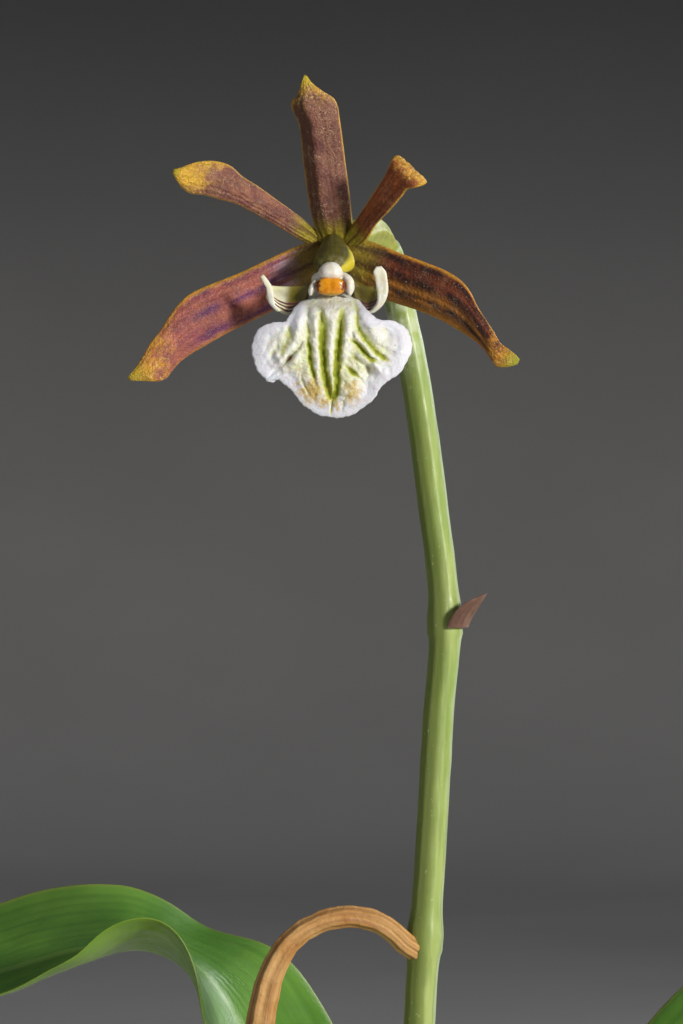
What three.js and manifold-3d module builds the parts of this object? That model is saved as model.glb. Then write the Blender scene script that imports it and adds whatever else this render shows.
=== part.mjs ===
// A small epiphytic orchid in a plain clay pot, in millimetres, +Z up.
// The origin is the middle of the pot's underside, and the flower faces -Y.
// The plant is a row of pseudobulbs on a creeping rhizome, with long leaves, aerial roots
// and one old raceme that still carries its last flower and a dried, spent one.
import * as THREE from "three";
import { mergeVertices } from "three/addons/utils/BufferGeometryUtils.js";
import Module from "manifold-3d";

const wasm = await Module();
wasm.setup();

// Driving dimensions.
const GAP = 0.3; // clearance between two pieces that touch on the real plant
const POT = {
  height: 92,
  baseRadius: 36,
  rimRadius: 52.5,
  rimHeight: 20,
  wall: 4.6,
  floor: 6.2,
  holeRadius: 4.5,
  holeCircle: 19,
  holes: 4,
};
const SOIL = { top: 79.5, chips: 26, seed: 11 };
const FLOWER = new THREE.Vector3(-6, -9, 276); // where the five tepals meet
const STEM_RADIUS = 1.3;
const SHEATH_THICK = 0.62;
const EDGE_THINNING = 0.2; // share of its thickness that a blade loses at its edges
const FOLD_ROUNDING = 0.17; // half-width of the round bottom of a fold, as a share of the blade's

// Colours as the photograph shows them, with roughness.
const finish = (colour, roughness) =>
  new THREE.MeshStandardMaterial({ color: colour, roughness, metalness: 0 });
const CLAY = finish(0xb0643f, 0.9);
const BARK = finish(0x5c3f28, 0.95);
const BULB = finish(0x7f9440, 0.55);
const LEAF = finish(0x4f7a2c, 0.45);
const STEM = finish(0x8fa648, 0.5);
const DRY = finish(0xc99a5c, 0.8);
const PAPER = finish(0xbfa57c, 0.85);
const ROOT = finish(0xc9cbb6, 0.7);
const TEPAL = finish(0x8a5a3a, 0.6);
const LIP = finish(0xeff0e2, 0.55);
const COLUMN = finish(0xb9bd55, 0.5);
const ANTHER = finish(0xc8801e, 0.35);

// Curves and skins.

// A smooth function of its first column: cubic pieces through rows [u, a, b, ...].
function track(rows) {
  const slope = (i, k) => {
    const a = rows[Math.max(i - 1, 0)];
    const b = rows[Math.min(i + 1, rows.length - 1)];
    return (b[k] - a[k]) / (b[0] - a[0]);
  };
  return (u) => {
    const x = THREE.MathUtils.clamp(u, rows[0][0], rows[rows.length - 1][0]);
    let i = 0;
    while (i < rows.length - 2 && x > rows[i + 1][0]) i++;
    const h = rows[i + 1][0] - rows[i][0];
    const t = (x - rows[i][0]) / h;
    return rows[i].slice(1).map((a, k) => {
      const b = rows[i + 1][k + 1];
      const m0 = slope(i, k + 1) * h;
      const m1 = slope(i + 1, k + 1) * h;
      const s = t * t;
      const c = s * t;
      return (2 * c - 3 * s + 1) * a + (c - 2 * s + t) * m0 + (3 * s - 2 * c) * b + (c - s) * m1;
    });
  };
}

// The same, for values given at even steps from u = 0 to 1.
const even = (values) => track(values.map((v, i) => [i / (values.length - 1), ...[v].flat()]));

// A closed skin over rings of points. Each ring runs out along one side and back along the other,
// and both sides are split into triangles alike.
function loft(rings) {
  const n = rings[0].length;
  const position = rings.flat().flatMap((p) => [p.x, p.y, p.z]);
  const index = [];
  const quad = (a, b, c, d) => index.push(a, b, c, a, c, d);
  for (let r = 0; r + 1 < rings.length; r++)
    for (let i = 0; i < n; i++) {
      const j = (i + 1) % n;
      const [a, b, c, d] = [r * n + i, r * n + j, (r + 1) * n + j, (r + 1) * n + i];
      if (i < n / 2) quad(a, b, c, d);
      else quad(b, c, d, a);
    }
  const last = (rings.length - 1) * n;
  for (let i = 0; i < n / 2 - 1; i++) {
    quad(i, n - 1 - i, n - 2 - i, i + 1);
    quad(last + i, last + i + 1, last + n - 2 - i, last + n - 1 - i);
  }
  const geometry = new THREE.BufferGeometry();
  geometry.setAttribute("position", new THREE.Float32BufferAttribute(position, 3));
  geometry.setIndex(index);
  if (signedVolume(geometry) < 0) geometry.setIndex([...index].reverse());
  return geometry;
}

function signedVolume(geometry) {
  const p = geometry.getAttribute("position");
  const [a, b, c] = [new THREE.Vector3(), new THREE.Vector3(), new THREE.Vector3()];
  let sum = 0;
  for (let i = 0; i < geometry.index.count; i += 3) {
    a.fromBufferAttribute(p, geometry.index.getX(i));
    b.fromBufferAttribute(p, geometry.index.getX(i + 1));
    c.fromBufferAttribute(p, geometry.index.getX(i + 2));
    sum += a.dot(b.cross(c)) / 6;
  }
  return sum;
}

// The place, direction, across and facing vectors at u on a spine.
function station(spine, face, u) {
  const step = 0.01;
  const at = new THREE.Vector3(...spine(u));
  const ahead = new THREE.Vector3(...spine(Math.min(u + step, 1)));
  const along = ahead.sub(new THREE.Vector3(...spine(Math.max(u - step, 0)))).normalize();
  const across = new THREE.Vector3().crossVectors(along, new THREE.Vector3(...face(u))).normalize();
  const out = new THREE.Vector3().crossVectors(across, along);
  return { at, along, across, out };
}

// A thin blade along a spine: a leaf, tepal, bract or sheath. Across it, v runs from -1 to 1.
// width gives the left and right halves, bow the half-angle that it curls towards its face,
// fold how steeply its halves rise from the midrib, and relief what stands out of the face.
// stops are the places along the spine that get a row of points.
function blade({ spine, face, width, bow, fold, thick, stops, cols, relief }) {
  const rings = [];
  for (const u of stops) {
    const { at, across, out } = station(spine, face, u);
    const [left, right] = width(u);
    const [curl] = bow(u);
    const rise = fold ? fold(u)[0] : 0;
    const point = (v, side) => {
      const half = v < 0 ? left : right;
      const angle = v * curl;
      const flat = Math.abs(curl) < 1e-3;
      const x = flat ? v * half : (half / Math.abs(curl)) * Math.sin(Math.abs(curl) * v);
      const lift = flat ? 0 : (half / curl) * (1 - Math.cos(angle));
      const height = lift + rise * half * (Math.hypot(v, FOLD_ROUNDING) - FOLD_ROUNDING);
      const body = thick(u)[0] * (1 - EDGE_THINNING * v * v) * 0.5;
      const extra = side > 0 && relief ? relief(u, v, v * half) : 0;
      return at
        .clone()
        .addScaledVector(across, x - side * (body + extra) * Math.sin(angle))
        .addScaledVector(out, height + side * (body + extra) * Math.cos(angle));
    };
    const ring = [];
    for (let c = 0; c <= cols; c++) ring.push(point(-1 + (2 * c) / cols, 1));
    for (let c = cols; c >= 0; c--) ring.push(point(-1 + (2 * c) / cols, -1));
    rings.push(ring);
  }
  return loft(rings);
}

// A round or ribbed rod along a spine. radius gives the half-width and half-height at u.
// lead lengthens it at both ends, as the hole that it stands in needs.
function rod({ spine, face, radius, sides, steps, ribs = 0, ribDepth = 0, lead = 0 }) {
  const rings = [];
  for (let r = 0; r <= steps; r++) {
    const u = r / steps;
    const { at, along, across, out } = station(spine, face, u);
    if (r === 0) at.addScaledVector(along, -lead);
    if (r === steps) at.addScaledVector(along, lead);
    const [wide, high = wide] = radius(u);
    const ring = [];
    for (let i = 0; i < sides; i++) {
      const angle = (i / sides) * 2 * Math.PI;
      const swell = 1 + ribDepth * Math.cos(ribs * angle);
      ring.push(
        at
          .clone()
          .addScaledVector(across, wide * swell * Math.cos(angle))
          .addScaledVector(out, high * swell * Math.sin(angle)),
      );
    }
    rings.push(ring);
  }
  return loft(rings);
}

// A sheath that hugs a core along a spine. radius gives its inner radius at u and an angle from
// its face, and reach the half-angle that it covers.
function wrap({ spine, face, radius, reach, rows, cols }) {
  const rings = [];
  for (let r = 0; r <= rows; r++) {
    const u = r / rows;
    const { at, across, out } = station(spine, face, u);
    const point = (v, layer) => {
      const angle = v * reach(u);
      const far = radius(u, angle) + layer * SHEATH_THICK;
      return at
        .clone()
        .addScaledVector(out, far * Math.cos(angle))
        .addScaledVector(across, far * Math.sin(angle));
    };
    const ring = [];
    for (let c = 0; c <= cols; c++) ring.push(point(-1 + (2 * c) / cols, 1));
    for (let c = cols; c >= 0; c--) ring.push(point(-1 + (2 * c) / cols, 0));
    rings.push(ring);
  }
  return loft(rings);
}

const fixed = (...values) => () => values;
const evenly = (rows) => Array.from({ length: rows + 1 }, (_, i) => i / rows);

function solid(geometry) {
  const bare = geometry.clone();
  bare.deleteAttribute("normal");
  bare.deleteAttribute("uv");
  const merged = mergeVertices(bare, 1e-4);
  return new wasm.Manifold(
    new wasm.Mesh({
      numProp: 3,
      vertProperties: new Float32Array(merged.getAttribute("position").array),
      triVerts: new Uint32Array(merged.index.array),
    }),
  );
}

function geometryOf(manifold) {
  const mesh = manifold.getMesh();
  const geometry = new THREE.BufferGeometry();
  geometry.setAttribute("position", new THREE.BufferAttribute(mesh.vertProperties, 3));
  geometry.setIndex(new THREE.BufferAttribute(mesh.triVerts, 1));
  return geometry;
}

const join = (geometries) => geometries.map(solid).reduce((a, b) => a.add(b));
const largest = (manifold) =>
  manifold.decompose().reduce((a, b) => (a.volume() > b.volume() ? a : b));

// Repeatable random numbers from 0 to 1.
function draws(seed) {
  let state = seed;
  return () => {
    state = (state * 1664525 + 1013904223) % 4294967296;
    return state / 4294967296;
  };
}

const root = new THREE.Group();
const flower = new THREE.Group();
flower.position.copy(FLOWER);
root.add(flower);

function add(group, name, geometry, material) {
  const mesh = new THREE.Mesh(geometry, material);
  mesh.name = name;
  group.add(mesh);
}

// The pot.

const innerRadius = (z) =>
  POT.rimRadius - POT.wall -
  ((POT.height - z) / POT.height) * (POT.rimRadius - POT.baseRadius - 1.5);

function potGeometry() {
  const band = POT.height - POT.rimHeight;
  const neck = POT.rimRadius - 6;
  const profile = [
    [0, 0],
    [POT.baseRadius - 1.5, 0],
    [POT.baseRadius, 1.5],
    [neck, band - 1.5],
    [POT.rimRadius - 2.6, band],
    [POT.rimRadius - 1.8, band + 1.5],
    [POT.rimRadius, POT.height - 2],
    [POT.rimRadius - 1, POT.height],
    [innerRadius(POT.height) + 1, POT.height],
    [innerRadius(POT.height - 1.5), POT.height - 1.5],
    [innerRadius(POT.floor + 2), POT.floor + 2],
    [innerRadius(POT.floor) - 2, POT.floor],
    [0, POT.floor],
  ].map(([r, z]) => new THREE.Vector2(r, z));
  let pot = solid(new THREE.LatheGeometry(profile, 32).rotateX(Math.PI / 2));
  for (let i = 0; i < POT.holes; i++) {
    const angle = ((i + 0.5) / POT.holes) * 2 * Math.PI;
    const hole = new THREE.CylinderGeometry(POT.holeRadius, POT.holeRadius, 4 * POT.floor, 10)
      .rotateX(Math.PI / 2)
      .translate(POT.holeCircle * Math.cos(angle), POT.holeCircle * Math.sin(angle), 0);
    pot = pot.subtract(solid(hole));
  }
  return geometryOf(pot);
}

// Pseudobulbs and the rhizome that joins them.

// Each bulb: foot on the bark, height, half-width, how far its top leans, and how it is turned.
const BULBS = {
  bulb_oldest: { foot: [-33, -8], height: 36, half: 8.2, lean: [-2, -1], turn: 0.9 },
  bulb_second: { foot: [-20, 10], height: 47, half: 9.2, lean: [-1, 2], turn: 0.2 },
  bulb_flowering: { foot: [1, 6], height: 52, half: 10, lean: [0, 0], turn: -0.1 },
  bulb_leading: { foot: [22, 0], height: 50, half: 9.6, lean: [1.5, 0], turn: -0.4 },
  bulb_back: { foot: [-3, 28], height: 43, half: 8.8, lean: [0, 2], turn: 1.3 },
  bulb_new: { foot: [35, -14], height: 27, half: 5.6, lean: [2, -2], turn: -0.5 },
};
const BULB_FOOT = SOIL.top + 0.4;
const BULB_SHAPE = even([0.42, 0.78, 0.97, 1.0, 0.93, 0.81, 0.67, 0.54, 0.44, 0.4]);
const BULB_FLAT = 0.86; // its depth as a share of its width
const BULB_RIBS = 7;
const BULB_RIB = 0.03; // height of its ribs as a share of its width

const bulbSpine = ({ foot, height, lean }) => (u) => [
  foot[0] + lean[0] * u * u,
  foot[1] + lean[1] * u * u,
  BULB_FOOT + height * u,
];

// slack makes the bulb that much larger all round, for the hole that it stands in.
function bulbGeometry(bulb, slack = 0) {
  return rod({
    spine: bulbSpine(bulb),
    face: fixed(-Math.sin(bulb.turn), Math.cos(bulb.turn), 0),
    radius: (u) => {
      const r = bulb.half * BULB_SHAPE(u)[0] * (slack ? 1 + BULB_RIB : 1);
      return [r + slack, r * BULB_FLAT + slack];
    },
    sides: 14,
    steps: 7,
    ribs: BULB_RIBS,
    ribDepth: slack ? 0 : BULB_RIB,
    lead: slack,
  });
}

const apexOf = ({ foot, height, lean }) =>
  new THREE.Vector3(foot[0] + lean[0], foot[1] + lean[1], BULB_FOOT + height);

const RHIZOME_RADIUS = 2.3;
const RHIZOME = even([
  [-38, -14, 77],
  [-33, -8, 77.3],
  [-20, 10, 77.3],
  [1, 6, 77.3],
  [22, 0, 77.3],
  [35, -14, 77.3],
  [38, -17, 77],
]);
const BRANCH = even([
  [-10, 9.3, 77.3],
  [-8, 18, 77.3],
  [-3, 28, 77.3],
  [0, 33.5, 77.1],
]);

function rhizomeGeometry(slack = 0) {
  const part = (spine, steps) =>
    rod({
      spine,
      face: fixed(0, 0, 1),
      radius: (u) => [RHIZOME_RADIUS * (1 + 0.06 * Math.cos(60 * u)) + slack],
      sides: 6,
      steps,
      lead: slack,
    });
  return geometryOf(join([part(RHIZOME, 20), part(BRANCH, 6)]));
}

// Aerial roots: the points that each runs through.

const ROOT_RADIUS = 1.15;
const ROOTS = {
  root_front: [[3, -4.5, 81], [4, -13, 84], [0, -24, 85], [-5, -33, 84], [-9, -39, 80]],
  root_left: [[-20, -1, 81], [-21, -10, 84.4], [-19, -20, 85], [-21, -28, 84], [-25, -33, 79.5]],
  root_right: [[21, -9, 81], [22, -18, 84.4], [20, -27, 84.6], [19, -34, 83], [20, -38, 79]],
  root_back: [[6, 30, 81], [15, 33, 84], [25, 31, 84.4], [33, 24, 83], [37, 21, 79]],
  root_over_rim: [
    [35, -8.8, 80], [38, -4, 86.4], [43, 2.5, 91.2], [49.2, 7.4, 93.9], [53.6, 10.2, 91.4],
    [53.7, 11, 84], [52.8, 11.2, 75], [51.6, 10.6, 66], [49.6, 10.8, 57], [46.8, 12.4, 49],
  ],
};

function rootGeometry(points, slack = 0) {
  const spine = even(points);
  const taper = (u) => Math.min(1, 0.5 + 6 * (1 - u), 0.7 + 4 * u);
  return rod({
    spine,
    face: fixed(0.12, 0.2, 1),
    radius: (u) => [ROOT_RADIUS * taper(u) + slack],
    sides: 6,
    steps: points.length > 5 ? 20 : 12,
    lead: slack,
  });
}

// The bark that fills the pot, with a hole for each bulb, root and the rhizome.

function barkGeometry() {
  const floor = POT.floor + GAP;
  const room = [
    [0, floor],
    [innerRadius(floor) - 2.6, floor],
    [innerRadius(floor + 2.4) - 0.5, floor + 2.4],
    [innerRadius(POT.height) - 0.5, POT.height],
    [0, POT.height],
  ];
  const fill = [
    ...room.slice(0, 3),
    [innerRadius(SOIL.top - 2) - 0.5, SOIL.top - 2],
    [30, SOIL.top],
    [0, SOIL.top - 0.5],
  ];
  const turned = (profile) =>
    solid(
      new THREE.LatheGeometry(profile.map(([r, z]) => new THREE.Vector2(r, z)), 24).rotateX(
        Math.PI / 2,
      ),
    );
  const random = draws(SOIL.seed);
  const golden = Math.PI * (3 - Math.sqrt(5));
  let bark = turned(fill);
  for (let i = 0; i < SOIL.chips; i++) {
    const reach = 43.5 * Math.sqrt((i + 0.5) / SOIL.chips);
    const angle = i * golden;
    const chip = new THREE.BoxGeometry(9 + 7 * random(), 6 + 4 * random(), 3.5 + 2.5 * random());
    const corners = chip.getAttribute("position");
    const squeeze = 0.55 + 0.4 * random();
    for (let k = 0; k < corners.count; k++)
      if (corners.getX(k) > 0) corners.setY(k, corners.getY(k) * squeeze);
    chip.rotateX(0.7 * (random() - 0.5)).rotateY(0.7 * (random() - 0.5));
    chip.rotateZ(2 * Math.PI * random());
    chip.translate(reach * Math.cos(angle), reach * Math.sin(angle), SOIL.top + 1.4 + random());
    bark = bark.add(solid(chip));
  }
  bark = bark.intersect(turned(room));
  for (const bulb of Object.values(BULBS)) bark = bark.subtract(solid(bulbGeometry(bulb, GAP)));
  for (const points of Object.values(ROOTS))
    bark = bark.subtract(solid(rootGeometry(points, GAP)));
  bark = bark.subtract(solid(rhizomeGeometry(GAP)));
  return geometryOf(largest(bark));
}

// Leaves.

// Each leaf: the bulb that carries it, where it starts beside the bulb's top, its greatest
// half-width, the way of its midrib to its tip, and the way that its upper face looks.
const LEAVES = {
  leaf_left_tall: {
    bulb: "bulb_flowering", start: [-0.3, 4.1], half: 10.2,
    way: [[-4.5, 17, 160], [-8, 25, 182], [-11, 30, 199], [-14.4, 32, 207.6],
      [-18.6, 33, 213], [-23, 34, 215], [-28, 35, 214.5], [-34, 36, 213], [-43, 37, 209.7],
      [-56, 37, 203], [-71, 35, 191], [-84, 32, 178]],
    face: [[0.1, -1, 0.1], [0.3, -1, 0.1], [0.5, -0.95, 0.1], [0.68, -0.72, 0.2], [0.8, -0.46, 0.42],
      [0.36, 0.06, 0.95], [0, -0.24, 1], [0, -0.42, 1], [0, -0.4, 1], [-0.1, -0.3, 1], [-0.3, -0.2, 1]],
  },
  leaf_front_low: {
    bulb: "bulb_flowering", start: [0.6, -4.1], half: 9.4,
    way: [[8, -8, 156], [17, -17, 175], [29, -27, 183], [42, -36, 178], [55, -45, 163]],
    face: [[-0.3, 1, 0.2], [-0.6, 0.8, 0.6], [-0.3, 0.4, 1], [0.2, -0.1, 1], [0.5, -0.3, 1]],
  },
  leaf_right_tall: {
    bulb: "bulb_leading", start: [-0.9, 3.2], half: 9.8,
    way: [[22, 9, 158], [23, 18, 184], [27, 23, 202], [36, 26, 211.5], [49, 27, 213],
      [64, 25, 204], [76, 22, 188]],
    face: [[-0.2, -1, 0.1], [-0.5, -0.9, 0.3], [-0.4, -0.4, 1], [0.1, -0.2, 1], [0.5, -0.2, 1]],
  },
  leaf_right_low: {
    bulb: "bulb_leading", start: [2.6, -2.0], half: 9,
    way: [[34, -9, 149], [47, -14, 163], [61, -18, 166], [74, -21, 157], [85, -24, 142]],
    face: [[-1, 0.4, 0.3], [-0.8, 0.3, 0.8], [-0.1, 0.1, 1], [0.4, 0, 1], [0.7, 0, 1]],
  },
  leaf_left_low: {
    bulb: "bulb_second", start: [-2.6, -1.9], half: 9.2,
    way: [[-29, 6, 148], [-40, 1, 164], [-54, -6, 170], [-68, -13, 162], [-80, -19, 146]],
    face: [[1, 0.3, 0.3], [0.8, 0.2, 0.8], [0.2, 0, 1], [-0.4, -0.1, 1], [-0.6, -0.2, 1]],
  },
  leaf_back_left: {
    bulb: "bulb_second", start: [0.9, 3.0], half: 8.8,
    way: [[-26, 25, 150], [-33, 38, 168], [-41, 52, 173], [-48, 65, 163], [-53, 75, 147]],
    face: [[0.4, -1, 0.3], [0.3, -0.9, 0.7], [0.1, -0.2, 1], [-0.1, 0.3, 1], [-0.2, 0.6, 1]],
  },
  leaf_back_right: {
    bulb: "bulb_back", start: [0.9, 2.4], half: 8.6,
    way: [[2, 39, 146], [9, 51, 164], [18, 63, 169], [28, 74, 161], [37, 82, 146]],
    face: [[-0.4, -1, 0.3], [-0.4, -0.8, 0.8], [0, -0.2, 1], [0.2, 0.3, 1], [0.4, 0.5, 1]],
  },
  leaf_new_outer: {
    bulb: "bulb_new", start: [1.1, -1.7], half: 5.4,
    way: [[41, -20.5, 121], [47, -27, 134], [55, -35, 142], [63, -42, 143]],
    face: [[-0.6, 0.8, 0.3], [-0.6, 0.7, 0.6], [-0.3, 0.4, 1], [0, 0.1, 1]],
  },
  leaf_new_inner: {
    bulb: "bulb_new", start: [-0.5, 2.4], half: 4.9,
    way: [[38.5, -9, 122], [42, -4, 137], [48, 2, 149], [55, 8, 156]],
    face: [[-0.3, -1, 0.3], [-0.5, -0.8, 0.6], [-0.5, -0.5, 1], [-0.2, -0.2, 1]],
  },
};
const LEAF_WIDTH = track([
  [0, 0.3], [0.07, 0.34], [0.2, 0.6], [0.38, 0.93], [0.52, 1], [0.7, 0.9], [0.85, 0.62],
  [0.95, 0.27], [1, 0.04],
]);

function leafGeometry({ bulb, start, half, way, face }) {
  const apex = apexOf(BULBS[bulb]);
  const foot = [apex.x + start[0], apex.y + start[1], apex.z + 1.6 * GAP];
  const rise = way[0].map((x, k) => foot[k] + (x - foot[k]) * (k === 2 ? 0.5 : 0.3));
  const turn = even(face);
  return blade({
    spine: even([foot, rise, ...way]),
    face: turn,
    width: (u) => [half * LEAF_WIDTH(u)[0], half * LEAF_WIDTH(u)[0]],
    bow: (u) => [0.2 + 0.9 * Math.exp(-u * 9)],
    fold: fixed(0.22),
    thick: (u) => [Math.max(half * (0.13 - 0.05 * u), 0.8)],
    stops: evenly(3 + Math.round(1.4 * way.length)),
    cols: 4,
  });
}

// Dry sheaths round the bulbs.

// Each sheath hugs its bulb up to a share of its height, over an arc of half-angle reach,
// facing the way that it opens away from.
const SHEATH_FOOT = 87.5; // just clear of the bark
const SHEATHS = {
  sheath_flowering: { bulb: "bulb_flowering", top: 0.6, reach: 1.5, facing: -1.9 },
  sheath_leading: { bulb: "bulb_leading", top: 0.64, reach: 1.5, facing: -1.2 },
  sheath_second: { bulb: "bulb_second", top: 0.5, reach: 1.6, facing: -2.3 },
  sheath_oldest: { bulb: "bulb_oldest", top: 0.42, reach: 1.5, facing: -1.7 },
  sheath_new: { bulb: "bulb_new", top: 0.8, reach: 1.8, facing: -1.3 },
};

function sheathGeometry({ bulb, top, reach, facing }) {
  const core = BULBS[bulb];
  const start = (SHEATH_FOOT - BULB_FOOT) / core.height;
  const share = (u) => start + (top - start) * u;
  const whole = bulbSpine(core);
  return wrap({
    spine: (u) => whole(share(u)),
    face: fixed(Math.cos(facing), Math.sin(facing), 0),
    radius: (u, angle) => {
      const wide = core.half * BULB_SHAPE(share(u))[0] * (1 + BULB_RIB);
      const deep = wide * BULB_FLAT;
      const turned = facing + angle - core.turn;
      const round = (wide * deep) / Math.hypot(deep * Math.cos(turned), wide * Math.sin(turned));
      return 1.03 * round + GAP + 0.9 * u * u;
    },
    reach: (u) => reach * Math.sqrt(Math.max(1 - u * u, 0.004)),
    rows: 5,
    cols: 6,
  });
}

// The raceme, in the flower's frame.

const STEM_LINE = track([
  [-143.75, 7, 15],
  [-124, 7.4, 15.3],
  [-105, 7.8, 15.5],
  [-86, 7.5, 15.4],
  [-67, 7.15, 15],
  [-50, 8.15, 15],
  [-38.8, 8.8, 15],
  [-30.4, 9.35, 15],
  [-19.5, 8.15, 15],
  [-10.5, 6.9, 15],
  [-2, 5.1, 14.8],
]);
const STEM_FOOT = -143.75;
const STEM_TOP = -2;
const stemAt = (z) => [...STEM_LINE(z), z];
const OVARY_WAY = even([
  [4.95, 14.4, -0.95],
  [4.2, 12.7, 0.9],
  [3.2, 9.8, 1.6],
  [1.8, 6, 1.0],
  [0.4, 2.8, 0.2],
  [0, 0.9, 0],
]);
const NODES = [
  { z: -30.6, swell: 0.26 },
  { z: -57.2, swell: 0.26 },
  { z: -88, swell: 0.22 },
];

function stemGeometry() {
  const height = (u) => STEM_FOOT + (STEM_TOP - STEM_FOOT) * u;
  const bulge = (z) => NODES.reduce((sum, n) => sum + n.swell * Math.exp(-(((z - n.z) / 1.6) ** 2)), 0);
  return rod({
    spine: (u) => stemAt(height(u)),
    face: fixed(0, -1, 0.02),
    radius: (u) => [STEM_RADIUS * (1.12 - 0.18 * u) + bulge(height(u))],
    sides: 8,
    steps: 34,
  });
}

function ovaryGeometry() {
  return rod({
    spine: OVARY_WAY,
    face: fixed(0, 0.1, 1),
    radius: (u) => [0.85 + 0.45 * Math.sin(Math.PI * u ** 1.2)],
    sides: 12,
    steps: 10,
    ribs: 6,
    ribDepth: 0.06,
  });
}

// Dry scales that clasp the stem: where, how long, how wide open, and how far the tip stands off.
const SCALES = {
  bract_upper: { z: -31.2, length: 2.6, reach: 1.25, flare: 1.3, face: [1, -0.25, 0] },
  bract_lower: { z: -88.6, length: 4.2, reach: 1.6, flare: 1.3, face: [-1, -0.4, 0] },
  stem_sheath: { z: -143.2, length: 17, reach: 2.5, flare: 0.8, face: [1, 0.1, 0] },
};

function scaleGeometry({ z, length, reach, flare, face }) {
  const tall = length > 10;
  return wrap({
    spine: (u) => stemAt(z + length * u),
    face: fixed(...face),
    radius: (u) => STEM_RADIUS * 1.12 + (tall ? 0 : 0.3) + GAP + flare * u * u,
    reach: (u) => reach * Math.sqrt(Math.max(1 - u ** (tall ? 3 : 1.5), 0.006)),
    rows: tall ? 7 : 4,
    cols: tall ? 8 : 6,
  });
}

const SPENT_WAY = even([
  [6.0, 13.6, -57.6],
  [4.2, 12.6, -56.0],
  [1.6, 12, -55.2],
  [-1.2, 11.8, -55.7],
  [-3.6, 11.7, -57.3],
  [-5.2, 11.6, -60.1],
  [-6.0, 11.5, -63.6],
  [-6.6, 11.4, -68],
  [-6.9, 11.3, -73],
]);

function spentStalkGeometry() {
  return rod({
    spine: SPENT_WAY,
    face: fixed(0, -1, 0),
    radius: (u) => [0.85 + 0.32 * THREE.MathUtils.smoothstep(u, 0.45, 0.85)],
    sides: 12,
    steps: 16,
    ribs: 6,
    ribDepth: 0.08,
  });
}

// The withered flower: five limp tepals hanging together from the old ovary.
function spentFlowerGeometry() {
  const [x, y, z] = SPENT_WAY(1);
  const cup = new THREE.SphereGeometry(1.35, 8, 5).translate(x, y, z - 1.75);
  const pieces = [cup];
  const half = (u) => 0.35 + Math.sin(Math.PI * u * 0.85);
  for (let i = 0; i < 5; i++) {
    const angle = (i / 5) * 2 * Math.PI + 0.3;
    const [c, s] = [Math.cos(angle), Math.sin(angle)];
    const hang = 9.5 + 2.2 * Math.sin(3.1 * i + 1);
    pieces.push(
      blade({
        spine: even([
          [x + 0.3 * c, y + 0.3 * s, z - 1.6],
          [x + 1.9 * c, y + 1.9 * s, z - 1.7 - 0.3 * hang],
          [x + 2.0 * c - 0.5 * s, y + 2.0 * s + 0.5 * c, z - 1.7 - 0.7 * hang],
          [x + 1.1 * c - 1.0 * s, y + 1.1 * s + 1.0 * c, z - 1.7 - hang],
        ]),
        face: fixed(-c, -s, 0.2),
        width: (u) => [half(u), half(u)],
        bow: fixed(0.8),
        thick: fixed(SHEATH_THICK),
        stops: evenly(5),
        cols: 2,
      }),
    );
  }
  return geometryOf(join(pieces));
}

// The open flower, in its own frame.

// Places here are as the eye sees them from the front, at this distance and height.
const EYE = { x: 0.68, z: -21.52, distance: 328 };
const seen = (x, y, z) => {
  const nearer = 1 + y / EYE.distance;
  return [EYE.x + (x - EYE.x) * nearer, y, EYE.z + (z - EYE.z) * nearer];
};

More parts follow.
